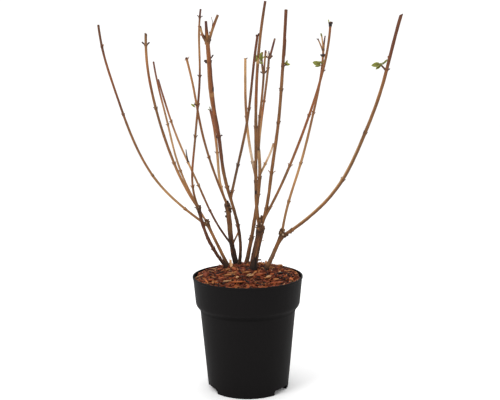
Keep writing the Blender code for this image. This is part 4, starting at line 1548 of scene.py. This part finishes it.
@dataclass
class LeafForm:
    """How a leaf's blade is made."""

    leaf: Leaf
    seed: int
    across: int = 12
    along: int = 18
    teeth: int = 11
    tooth_depth: float = 0.18
    stalk: float = 0.1  # share of the length
    least_half: float = 0.35 * MM
    veins: float = 5.5
    vein_slant: float = 0.30
    vein_depth: float = 0.16 * MM
    ripple_depth: float = 0.35 * MM
    thickness: float = 0.28 * MM

    def mesh(self, seat: Vector) -> tuple[bpy.types.Mesh, np.ndarray]:
        """Makes the blade, ovate and toothed, with sunken veins and a short stalk.

        Args:
            seat: where its stalk starts.

        Returns:
            The mesh, and each vertex's colour.
        """
        leaf = self.leaf
        form = bmesh.new()
        bmesh.ops.create_grid(form, x_segments=self.across, y_segments=self.along, size=0.5)
        length, half = leaf.length * MM, leaf.width * MM / 2
        fold, curl = math.radians(leaf.fold), math.radians(leaf.curl)
        for vert in form.verts:
            side, rise = 2.0 * vert.co.x, vert.co.y + 0.5
            blade = max(0.0, (rise - self.stalk) / (1.0 - self.stalk))
            outline = 2.5 * blade**0.62 * (1.0 - blade) ** 0.8
            tooth = 1.0 + self.tooth_depth * abs((rise * self.teeth) % 1.0 - 0.5) * abs(side) ** 6
            spread = max(outline * half * tooth, self.least_half) * side
            vein = math.cos(TURN * (self.veins * (rise - self.vein_slant * abs(side))))
            ripple = self.ripple_depth * math.sin(9.0 * rise + self.seed) * abs(side) ** 2
            lift = abs(spread) * math.sin(fold) + self.vein_depth * vein * min(1.0, 3.0 * abs(side))
            lift += ripple
            bend = curl * rise
            reach = length * (math.sin(bend) / curl if abs(curl) > 0.01 else rise)
            drop = length * ((1.0 - math.cos(bend)) / curl if abs(curl) > 0.01 else 0.0)
            vert.co = Vector((reach, spread * math.cos(fold), lift - drop))
        bmesh.ops.solidify(form, geom=form.faces[:], thickness=self.thickness)
        face_out(form)
        colours = []
        for vert in form.verts:
            rise = min(1.0, vert.co.x / length)
            off = abs(vert.co.y) / max(half, 1e-6)
            rib = math.exp(-((off / 0.07) ** 2))
            heart = 0.9 * math.exp(-(((rise - 0.36) / 0.30) ** 2)) * max(0.0, 1.0 - 1.3 * off)
            edge = max(0.0, off - 0.45) * 1.2 + 0.6 * max(0.0, rise - 0.75)
            colour = Vector(BLADE).lerp(Vector(HEART), heart).lerp(Vector(RIB), 0.45 * rib)
            colour = colour.lerp(Vector(EDGE), min(edge, 0.7)) * leaf.tone
            colours.append((*colour, 1.0))
        turn = turn_of(leaf.bearing, "Z") @ turn_of(-leaf.elevation, "Y") @ turn_of(leaf.roll, "X")
        place = seat + Vector((*leaf.shift, leaf.rise)) * MM
        bmesh.ops.transform(form, matrix=Matrix.Translation(place) @ turn, verts=form.verts)
        return mesh_of("leaf", form), np.array(colours)


@dataclass(frozen=True)
class Tuft:
    """A tuft of leaves at a node: its limb, the share along it, and its leaves."""

    name: str
    limb: str
    share: float
    leaves: tuple[Leaf, ...]


TUFTS = (
    Tuft("tall_bough_leaves", "tall_bough", 0.735, (
        Leaf(244, 80, 18, 7.2, 1, 24, 6, 0, 0.97, (-3.0, 0.8)),
        Leaf(-62, 80, 18, 7.4, 2, 24, 6, 0, 0.92, (4.4, 0)),
        Leaf(-12, 8, 8, 5, -1, 25, 20, 65), Leaf(-6, 50, 17, 3.8, 0, 30, 5, 60, 1.25),
        Leaf(192, 24, 7, 5, 2, 30, 15, -60, 0.9), Leaf(120, 70, 15, 8, 1, 40, 10),
        Leaf(60, 66, 14, 8, 2, 40, 10), Leaf(250, 80, 8, 4, 0, 50, 0, 0, 0.8))),
    Tuft("right_centre_leaves", "right_centre_bough", 0.765, (
        Leaf(0, 72, 10.5, 5, 0, 25, 10, 60, 1.5, (2.4, 0)),
        Leaf(-8, 12, 8.5, 4.8, 1, 25, 10, 60, 1.7, (2.4, 0)),
        Leaf(-20, 38, 7.5, 4.4, 0, 30, 10, 70, 1.4, (2.4, 0)), Leaf(60, 50, 9, 5, 0, 40, 15, 0, 1.2),
        Leaf(110, 40, 8, 4.6, 0, 40, 15, 0, 1.2))),
    Tuft("right_rear_leaves", "right_rear_bough", 0.915, (
        Leaf(184, 22, 19, 11.5, -1, 18, 10, -70, 0.92), Leaf(186, -12, 14, 3.8, -1.5, 25, -10, -60, 1.1),
        Leaf(-18, 68, 12, 5.4, 1, 30, 10, 55, 0.85), Leaf(120, 40, 13, 8, 1, 35, 20, 0, 0.9),
        Leaf(60, 34, 12, 7, 0, 35, 20, 0, 0.9), Leaf(235, 62, 7, 4, 0, 40, 10, 0, 0.9))),
    Tuft("outer_right_leaves", "outer_right_bough", 0.783, (
        Leaf(182, -3, 18.5, 10.5, 10, 22, 12, -66, 0.92, (-7.5, 0)),
        Leaf(186, -34, 13.5, 7, 9, 30, 10, -55, 0.9, (-7.0, -1.0)),
        Leaf(-4, 50, 12, 5, 10.5, 30, 5, 62, 0.85, (-9.0, 0)),
        Leaf(250, 25, 6, 4, 9, 35, 20, 0, 1.1, (-8.5, 0)),
        Leaf(110, 20, 14, 8, 9.5, 30, 20, 0, 0.9, (-8.0, 0)),
        Leaf(60, 45, 9, 5, 9.5, 35, 10, 0, 0.9, (-8.0, 0)))),
    Tuft("left_tall_leaves", "left_tall_bough", 0.533, (
        Leaf(180, 42, 10.5, 4.8, -4.6, 25, 5, -60, 1.3, (-3.4, 0)), Leaf(120, 44, 7, 4, 0, 45, 10),
        Leaf(20, 60, 4, 2.4, 0, 45, 10))),
    Tuft("centre_short_leaves", "centre_short_bough", 1.0, (
        Leaf(190, 40, 4.4, 3, -1, 30, 5, -60), Leaf(110, 68, 6, 3.4, 0, 55, 5),
        Leaf(30, 66, 4, 2.6, 0, 55, 5))),
    Tuft("right_front_leaves", "right_front_bough", 0.995, (
        Leaf(180, 84, 6.2, 3.2, 1.0, 40, 0, 0, 1.45, (-1.6, 0)),
        Leaf(100, 60, 4.6, 2.6, 0.5, 50, 10, 0, 1.3))),
)


@dataclass
class Leafage:
    """Every tuft of young leaves."""

    routes: dict[str, Route]
    finish: bpy.types.Material

    def build(self, tuft: Tuft, seed: int) -> bpy.types.Object:
        """Makes one tuft in the place of its solid."""
        route = self.routes[tuft.limb]
        along = tuft.share * route.length
        middle, radius = route.point(along), route.half_girth(along)
        form = bmesh.new()
        colours = []
        for number, leaf in enumerate(tuft.leaves):
            angle = math.radians(leaf.bearing)
            seat = middle + Vector((math.cos(angle), math.sin(angle), 0.0)) * radius * 0.8
            blade, tints = LeafForm(leaf, seed + number).mesh(seat)
            form.from_mesh(blade)
            colours.append(tints)
            bpy.data.meshes.remove(blade)
        mesh = mesh_of(tuft.name, form)
        give(mesh, "coat", np.vstack(colours))
        mesh.shade_smooth()
        piece = piece_of(tuft.name.replace("_leaves", "_sprays"), mesh, self.finish)
        return fit(piece, Slot.LEAF, tuft.name)


# --- Pot ---
AXIS = 0.3 * MM  # radius at which a turned shape closes on Z


@dataclass
class Pot:
    """A five-litre nursery pot: rolled lip, rim band, shoulder, tapering body and three feet."""

    height: float = POT_HEIGHT
    rim: float = 0.105
    lip: float = 4.0 * MM
    band_top: float = 0.1039
    band_foot: float = 0.0992
    band_foot_z: float = 0.163
    body_top: float = 0.0912
    body_top_z: float = 0.1534
    base: float = 0.0771
    wall: float = 1.6 * MM
    floor: float = 2.0 * MM
    spare: float = 20.0 * MM  # how far the hollow runs on above the rim
    sides: int = 180
    channel_height: float = 9.4 * MM
    channel_reach: float = 0.034
    channel_draft: float = 0.9
    channels: tuple[Numbers, ...] = (  # bearing and spread in degrees, and rounding in mm
        (55.0, 34.0, 2.4), (-69.0, 43.5, 6.0), (173.0, 36.0, 3.0))
    hole: float = 5.0 * MM
    hole_places: Numbers = (0.046, 0.063)  # distances from Z

    @staticmethod
    def rounded(corners: Sequence[tuple[float, float, float]], steps: int = 6) -> np.ndarray:
        """An outline with its corners rounded.

        Args:
            corners: radius, height and rounding of each corner, in order.
            steps: points on each rounded corner.

        Returns:
            The outline's points, one row each.
        """
        points = []
        for number, (x, z, rounding) in enumerate(corners):
            here = Vector((x, z))
            if rounding == 0.0 or number in (0, len(corners) - 1):
                points.append(here)
                continue
            before = Vector(corners[number - 1][:2]) - here
            after = Vector(corners[number + 1][:2]) - here
            start = here + before.normalized() * rounding
            end = here + after.normalized() * rounding
            for step in range(steps + 1):
                t = step / steps
                points.append(start.lerp(here, t).lerp(here.lerp(end, t), t))
        return np.array(points)

    def turned(self, name: str, outline: np.ndarray, spacing: float = 6.0 * MM) -> bpy.types.Mesh:
        """A solid turned about Z from an outline that starts and ends on the axis.

        Args:
            name: the mesh's name.
            outline: radius and height of its points, from the underside up.
            spacing: the longest stretch without a ring.

        Returns:
            The mesh.
        """
        points = [outline[0]]
        for start, end in zip(outline, outline[1:]):
            count = max(1, math.ceil(float(np.linalg.norm(end - start)) / spacing))
            points += [start + (end - start) * number / count for number in range(1, count + 1)]
        points = np.array(points)
        mesh = sleeve(name, len(points), self.sides)
        rings = Rings(mesh, len(points))
        reach, height = points[rings.ring].T
        set_points(mesh, on_circle(reach, rings.angle, height))
        return mesh

    def outside(self) -> np.ndarray:
        """The outline of the pot as if it were solid."""
        top, lip_z = self.height, self.height - self.lip
        return self.rounded([
            (AXIS, 0.0, 0.0), (self.base, 0.0, 1.4 * MM), (self.body_top, self.body_top_z, 5.0 * MM),
            (self.band_foot, self.band_foot_z, 4.5 * MM), (self.band_top, lip_z, 0.5 * MM),
            (self.rim, lip_z + 0.3 * MM, 0.6 * MM), (self.rim, top, 0.7 * MM),
            (self.band_top - self.wall, top, 0.6 * MM), (AXIS, top - 0.8 * MM, 0.0),
        ])

    def inside(self) -> np.ndarray:
        """The outline of the hollow, carried on above the rim."""
        inset, above = self.wall, self.height + self.spare
        mouth = self.band_top - inset
        return self.rounded([
            (AXIS, self.floor, 0.0), (self.base - inset, self.floor, 3.0 * MM),
            (self.body_top - inset, self.body_top_z, 5.0 * MM),
            (self.band_foot - inset, self.band_foot_z, 5.0 * MM),
            (mouth, self.height - 1.2 * MM, 0.5 * MM), (mouth, above, 0.0), (AXIS, above, 0.0),
        ])

    def channel(self, bearing: float, spread: float, rounding: float, grow: float) -> bmesh.types.BMesh:
        """The block of one drainage channel, larger all round by grow."""
        width = 2 * self.base * math.sin(math.radians(spread) / 2) + 2 * grow
        inner = self.channel_reach - grow
        bottom, top = -self.channel_height, self.channel_height + grow
        form = bmesh.new()
        bmesh.ops.create_cube(form, size=1.0)
        bmesh.ops.scale(form, vec=(width, self.rim - inner, top - bottom), verts=form.verts)
        middle = Vector((0.0, (self.rim + inner) / 2, (top + bottom) / 2))
        bmesh.ops.translate(form, vec=middle, verts=form.verts)
        roof = [vert for vert in form.verts if vert.co.z > middle.z]
        bmesh.ops.scale(form, vec=(self.channel_draft, 1.0, 1.0), verts=roof)
        edges = [edge for edge in form.edges if all(vert.co.z > middle.z for vert in edge.verts)]
        bmesh.ops.bevel(form, geom=edges, offset=rounding * MM + grow, segments=5, profile=0.5,
                        affect="EDGES", material=-1)
        turn = Matrix.Rotation(math.radians(bearing + 180.0), 3, "Z")
        bmesh.ops.rotate(form, matrix=turn, cent=(0.0, 0.0, 0.0), verts=form.verts)
        return form

    def drain(self, bearing: float, distance: float) -> bmesh.types.BMesh:
        """The block of one drain hole through a channel's roof."""
        form = bmesh.new()
        bmesh.ops.create_cone(form, cap_ends=True, segments=32, radius1=self.hole, radius2=self.hole,
                              depth=3 * self.channel_height)
        angle = math.radians(bearing)
        place = Vector((distance * math.sin(angle), -distance * math.cos(angle), self.channel_height))
        bmesh.ops.translate(form, vec=place, verts=form.verts)
        return form

    @staticmethod
    def cut(target: bpy.types.Object, cutters: list[bpy.types.Object]) -> None:
        """Takes the cutters' shapes out of the target, and removes the cutters."""
        for cutter in cutters:
            knife = target.modifiers.new("cut", "BOOLEAN")
            knife.operation = "DIFFERENCE"
            knife.solver = "EXACT"
            knife.object = cutter
        mesh = finished_mesh(target)
        target.modifiers.clear()
        target.data = mesh
        for cutter in cutters:
            bpy.data.objects.remove(cutter)

    def build(self, finish: bpy.types.Material) -> bpy.types.Object:
        """Makes the pot in the place of its solid."""
        pot = piece_of("pot", self.turned("pot", self.outside()), finish)
        hollow = piece_of("hollow", self.turned("hollow", self.inside()), finish)
        housings = [cast("housing", self.channel(*channel, self.wall), finish) for channel in self.channels]
        self.cut(hollow, housings)
        channels = [cast("channel", self.channel(*channel, 0.0), finish) for channel in self.channels]
        drains = [
            cast("drain", self.drain(bearing, distance), finish)
            for bearing, _, _ in self.channels
            for distance in self.hole_places
        ]
        self.cut(pot, [hollow, *channels, *drains])
        pot.name = "nursery_pot"
        pot.data.shade_smooth()
        pot.data.set_sharp_from_angle(angle=math.radians(35.0))
        return fit(pot, Slot.POT, "pot")


# --- Mulch ---
class ChipForm(Enum):
    """Shapes that shredded bark breaks into: length, width and thickness ranges in millimetres."""

    SLIVER = ((8.0, 26.0), (0.9, 2.4), (0.6, 1.3))
    FLAKE = ((6.0, 16.0), (2.6, 6.4), (0.7, 1.6))
    CHUNK = ((6.0, 14.0), (3.0, 6.2), (2.0, 4.2))
    CRUMB = ((2.0, 5.0), (1.2, 3.0), (0.8, 2.2))


@dataclass(frozen=True)
class ChipSort:
    """One colour of chips, and its share of the heap."""

    name: str
    colour: Colour
    share: float


CHIP_SORTS = (
    ChipSort("red_brown_chips", shade(110, 52, 31), 0.24),
    ChipSort("dark_red_chips", shade(82, 37, 23), 0.24),
    ChipSort("deep_brown_chips", shade(50, 28, 21), 0.15),
    ChipSort("rust_chips", shade(132, 65, 34), 0.15),
    ChipSort("tan_chips", shade(152, 98, 57), 0.08),
    ChipSort("pale_chips", shade(180, 138, 98), 0.025),
    ChipSort("orange_chips", shade(166, 90, 46), 0.025),
    ChipSort("black_chips", shade(30, 21, 17), 0.09),
)


CHIPS_SUNK = 0.8  # mm that a laid chip sinks into the others


@dataclass(frozen=True)
class Laid:
    """A chip with a place of its own on the bed: its place and sizes in mm, and its angles.

    Bearing is the way it points, from +X towards +Y, and tilt how far it rises, in degrees.
    """

    sort: str
    x: float
    y: float
    bearing: float
    tilt: float
    length: float
    width: float
    depth: float
    lift: float = 1.5

    def matrix(self) -> Matrix:
        """What places the chip's unit shape."""
        x, y = self.x * MM, self.y * MM
        z = bed_at(x, y) + (self.lift - CHIPS_SUNK) * MM
        return (
            Matrix.Translation((x, y, z))
            @ turn_of(self.bearing, "Z")
            @ turn_of(90.0 - self.tilt, "Y")
            @ Matrix.Diagonal((self.depth * MM, self.width * MM, self.length * MM, 1.0))
        )


LAID = (
    Laid("pale_chips", -32.5, 23, 108, 62, 15, 5.0, 1.6, 4.5),
    Laid("pale_chips", -31.0, 13, 84, 26, 11, 4.4, 1.8, 3.6),
    Laid("rust_chips", -52, 11, 10, 6, 12, 6.5, 2.4),
    Laid("tan_chips", -37, -4, 20, 8, 9, 4.6, 2.0),
    Laid("tan_chips", -33, -36, -8, 3, 19, 6.4, 2.0),
    Laid("tan_chips", -29, -28, 12, 5, 15, 4.0, 1.6),
    Laid("rust_chips", -54, -25, 8, 4, 10, 5.4, 2.2),
    Laid("pale_chips", -18.5, -51, 60, 8, 8, 4.6, 2.0),
    Laid("orange_chips", -93, 30, 60, 10, 7, 5.5, 2.2),
    Laid("pale_chips", -92, 3, 22, 14, 13, 2.6, 1.4, 2.5),
    Laid("orange_chips", -17, -71, 2, 2, 24, 3.4, 1.6, 2.2),
    Laid("pale_chips", -38, -62, -4, 3, 14, 2.4, 1.4, 2.0),
    Laid("pale_chips", 3, -46, 28, 12, 9, 2.2, 1.4, 3.0),
    Laid("pale_chips", 6.5, -50, 20, 10, 9, 2.2, 1.4, 3.0),
    Laid("tan_chips", 12.5, -39, 50, 14, 12, 2.6, 1.4, 3.0),
    Laid("pale_chips", 39, -48, 25, 12, 8, 6.0, 2.6, 2.5),
    Laid("tan_chips", 36, -53, 4, 3, 11, 3.0, 1.6, 2.5),
    Laid("tan_chips", 63, 36, 3, 8, 12, 8.0, 3.4, 2.5),
    Laid("orange_chips", 81, -36, 95, 30, 8, 6.4, 2.6, 1.5),
    Laid("rust_chips", 53, -65, -8, 4, 20, 8.0, 2.6, 1.5),
    Laid("tan_chips", 52, -54, 10, 6, 9, 3.6, 1.8, 2.0),
    Laid("rust_chips", 22, -41, 20, 6, 14, 10.0, 2.6, 1.8),
    # This black chip lies where the bed shows a dark hole between the chips: a painted shadow.
    Laid("black_chips", 59, -17, -6, 4, 17, 8.0, 2.2, 0.8),
    Laid("tan_chips", 27, 28, 165, 16, 11, 5.0, 2.0, 3.0),
    Laid("tan_chips", 36, 30, 100, 40, 9, 4.0, 2.0, 4.0),
    Laid("tan_chips", -2, -31, 4, 6, 13, 4.6, 1.8, 2.0),
    Laid("rust_chips", -68, -39, -20, 6, 11, 7.0, 2.4, 1.5),
    Laid("red_brown_chips", -80, 2, 80, 12, 15, 9.0, 2.6, 1.8),
    Laid("orange_chips", 26, -92, 4, 3, 14, 3.0, 1.6, 1.0),
    Laid("tan_chips", 76, 9, -14, 6, 14, 3.6, 1.6, 2.0),
)


@dataclass
class Mulch:
    """The bed: dark earth domed round the stems, under a loose layer of shredded bark."""

    pot: Pot
    chips: int = 3000
    gap: float = 0.3 * MM
    earth_floor: float = 12.0 * MM
    earth_edge: float = 6.0 * MM  # below the bed's level
    side_rings: int = 24
    top_rings: int = 56
    earth_depth: float = 4.2  # mm below the bed's level, where the chips take over
    form_shares: Numbers = (0.50, 0.22, 0.08, 0.20)  # of the kinds of chip, in their order
    variants: int = 5  # of each kind
    broken_share: float = 0.5
    broken_length: float = 0.7
    lean: float = 0.24  # radians, as is the roll
    roll: float = 0.45
    depths: Span = (-3.8 * MM, 2.6 * MM - 3.0 * MM)  # from the bed's level
    seed: int = 5

    def wall_at(self, z: np.ndarray) -> np.ndarray:
        """Radius of the pot's inside at a height."""
        heights = (0.0, self.pot.body_top_z, self.pot.band_foot_z, self.pot.height)
        radii = (self.pot.base, self.pot.body_top, self.pot.band_foot, self.pot.band_top)
        return np.interp(z, heights, radii) - self.pot.wall - self.gap

    def build_earth(self, finish: bpy.types.Material) -> bpy.types.Object:
        """Makes the earth under the chips in the place of the bed's solid."""
        heights = np.linspace(self.earth_floor, BED_EDGE - self.earth_edge, self.side_rings)
        sides = [(AXIS, self.earth_floor)]
        sides += [(float(self.wall_at(height)), height) for height in heights]
        edge = float(self.wall_at(BED_EDGE)) - 0.4 * MM
        top = [(edge * share, BED_EDGE) for share in np.linspace(1.0, 0.003, self.top_rings)]
        outline = np.array(sides + top)
        mesh = sleeve("earth", len(outline), self.pot.sides)
        rings = Rings(mesh, len(outline))
        reach, height = outline[rings.ring].T
        places = on_circle(reach, rings.angle, height)
        on_top = rings.ring >= len(sides)
        level = bed_height(places[:, 0], places[:, 1])
        bumps = 1.3 * Grain(7).at(places, 7, 7) + 0.7 * Grain(8).at(places, 3, 3)
        fade = between(edge - reach, 0.0, 3.0 * MM)
        places[:, 2] = np.where(on_top, level + (bumps * fade - self.earth_depth) * MM, places[:, 2])
        set_points(mesh, places)
        mesh.shade_smooth()
        return fit(piece_of("potting_earth", mesh, finish), Slot.MULCH, "potting_mix")

    @staticmethod
    def chip_shape(form: ChipForm, seed: int) -> bpy.types.Mesh:
        """One chip as a unit shape about the origin, long along Z and thin along X.

        Args:
            form: the kind of chip.
            seed: which of its kind it is.

        Returns:
            The mesh, of a few dozen faces.
        """
        rng = random.Random(seed)
        chip = bmesh.new()
        bmesh.ops.create_cube(chip, size=1.0)
        bmesh.ops.subdivide_edges(chip, edges=edges_along(chip, 2), cuts=3)
        slender = form is ChipForm.SLIVER
        if not slender:
            bmesh.ops.subdivide_edges(chip, edges=edges_along(chip, 1), cuts=1)
        bend, twist = rng.uniform(-0.9, 0.9), rng.uniform(-0.7, 0.7)
        ragged, pointed = (0.34, 0.55) if slender else (0.2, 0.3)
        for vert in chip.verts:
            x, y, z = vert.co
            end = abs(z) * 2.0
            taper = 1.0 - pointed * end**2 * rng.uniform(0.5, 1.4)
            x, y = x * taper, y * taper
            z += rng.uniform(-0.14, 0.14) * (end > 0.9)
            y += ragged * rng.uniform(-0.5, 0.5)
            x += 0.22 * rng.uniform(-0.5, 0.5) + bend * (z * z - 0.1)
            angle = twist * z
            vert.co = (
                x * math.cos(angle) - y * math.sin(angle) * 0.3,
                y * math.cos(angle) + x * math.sin(angle) * 0.3,
                z,
            )
        face_out(chip)
        return mesh_of("chip", chip)

    def strewn(self, rng: random.Random) -> tuple[ChipForm, Matrix]:
        """One chip that fell where it would, kept inside the pot's wall.

        Args:
            rng: the draws, which go on from chip to chip.

        Returns:
            Its kind, and the matrix that places its unit shape.
        """
        form = rng.choices(list(ChipForm), self.form_shares)[0]
        length, width, depth = (rng.uniform(*limits) * MM for limits in form.value)
        if rng.random() < self.broken_share:
            length *= self.broken_length
        lean = rng.gauss(0.0, self.lean)
        wall = float(self.wall_at(BED_EDGE)) - 1.0 * MM
        spread = 0.5 * (length * abs(math.cos(lean)) + 0.4 * width)
        away = wall * math.sqrt(rng.random())
        angle, bearing = rng.uniform(0.0, TURN), rng.uniform(0.0, TURN)
        if away > wall - spread:
            bearing = angle + math.pi / 2 + rng.uniform(-0.25, 0.25)
            away = min(away, math.sqrt(max(wall**2 - (0.56 * length) ** 2, 0.0)) - 0.6 * width)
        x, y = away * math.cos(angle), away * math.sin(angle)
        z = bed_at(x, y) + rng.uniform(*self.depths)
        return form, (
            Matrix.Translation((x, y, z))
            @ Matrix.Rotation(bearing, 4, "Z")
            @ Matrix.Rotation(math.pi / 2 + lean, 4, "Y")
            @ Matrix.Rotation(rng.gauss(0.0, self.roll), 4, "Z")
            @ Matrix.Diagonal((depth, width, length, 1.0))
        )

    def strew(self) -> list[bpy.types.Object]:
        """Lays the chips on the earth, one piece for each colour.

        Returns:
            The pieces.
        """
        rng = random.Random(self.seed)
        shapes = {
            form: [self.chip_shape(form, 10 * number + 3) for number in range(self.variants)]
            for form in ChipForm
        }
        heaps = {sort.name: Heap() for sort in CHIP_SORTS}
        for _ in range(self.chips):
            form, matrix = self.strewn(rng)
            heap = rng.choices(list(heaps.values()), [sort.share for sort in CHIP_SORTS])[0]
            heap.add(rng.choice(shapes[form]), matrix)
        for number, laid in enumerate(LAID):
            heaps[laid.sort].add(shapes[ChipForm.FLAKE][number % self.variants], laid.matrix())
        made = []
        for sort in CHIP_SORTS:
            finish = Woody(sort.name, sort.colour, 0.75, 0.3).material()
            made.append(fit(heaps[sort.name].piece(sort.name, finish, False), Slot.MULCH))
        return made


# --- Studio ---
@dataclass
class Studio:
    """A pale floor, soft light from the upper left and the camera."""

    place: tuple[float, float, float] = (0.0054, -1.523, 0.5765)
    pitch: float = 8.02  # degrees down
    roll: float = 0.38
    lens: float = 58.8  # mm
    film: float = 36.0  # mm
    aim: Numbers = (0.0, 0.0, 0.4)  # of the lights
    half_floor: float = 12.0
    sky: float = 1.1

    def camera(self) -> None:
        """Sets the camera up."""
        data = bpy.data.cameras.new("camera")
        data.lens = self.lens
        data.sensor_width = self.film
        made = stand("camera", data)
        turn = turn_of(90.0 - self.pitch, "X") @ turn_of(-self.roll, "Z")
        made.matrix_world = Matrix.Translation(self.place) @ turn
        bpy.context.scene.camera = made

    def panel(self, name: str, place: Vector, size: float, power: float) -> None:
        """A square soft light aimed at the shrub's middle."""
        data = bpy.data.lights.new(name, "AREA")
        data.size = size
        data.energy = power
        made = stand(name, data)
        made.location = place
        made.rotation_euler = (Vector(self.aim) - place).to_track_quat("-Z", "Y").to_euler()

    def floor(self) -> None:
        """A plain pale floor."""
        form = bmesh.new()
        bmesh.ops.create_grid(form, x_segments=1, y_segments=1, size=self.half_floor)
        paint = Paint("floor", 0.9, 0.1)
        paint.shader.inputs["Base Color"].default_value = (0.95, 0.95, 0.95, 1.0)
        made = cast("floor", form, paint.material)

    def world(self) -> None:
        """A plain white sky."""
        world = bpy.data.worlds.new("studio")
        bpy.context.scene.world = world
        world.use_nodes = True
        sky = world.node_tree.nodes["Background"]
        sky.inputs["Color"].default_value = (1.0, 1.0, 1.0, 1.0)
        sky.inputs["Strength"].default_value = self.sky

    def build(self) -> None:
        """Makes everything that isn't the shrub."""
        self.camera()
        self.floor()
        self.world()
        self.panel("key", Vector((-1.6, -1.5, 2.3)), size=1.1, power=34.0)
        self.panel("top", Vector((0.2, 0.6, 2.6)), size=1.6, power=14.0)
        bpy.context.scene.view_settings.view_transform = "Standard"


def main() -> None:
    """Builds the studio, then the shrub from the pot up."""
    logging.basicConfig(level=logging.INFO, format="%(message)s")
    Studio().build()
    pot = Pot()
    pot.build(Plastic().material())
    mulch = Mulch(pot)
    mulch.build_earth(Earth().material())
    mulch.strew()
    bark = Bark().material()
    routes: dict[str, Route] = {}
    for limb in (*STEMS, *BOUGHS, *TWIGS):
        routes[limb.name] = Route(limb, routes)
        Cane(limb, routes[limb.name], bark).build()
    for number, (side, (lumps, stubs, coat, light)) in enumerate(BURLS.items()):
        route = routes[side + "_stem"]
        Burl(side + "_burl", route, bark, lumps, stubs, 7 * number + 3, coat, light).build()
    Peelings(routes).build()
    Buds(routes).build()
    leafage = Leafage(routes, Foliage().material())
    for number, tuft in enumerate(TUFTS):
        leafage.build(tuft, 100 * number)


if __name__ == "__main__":
    main()
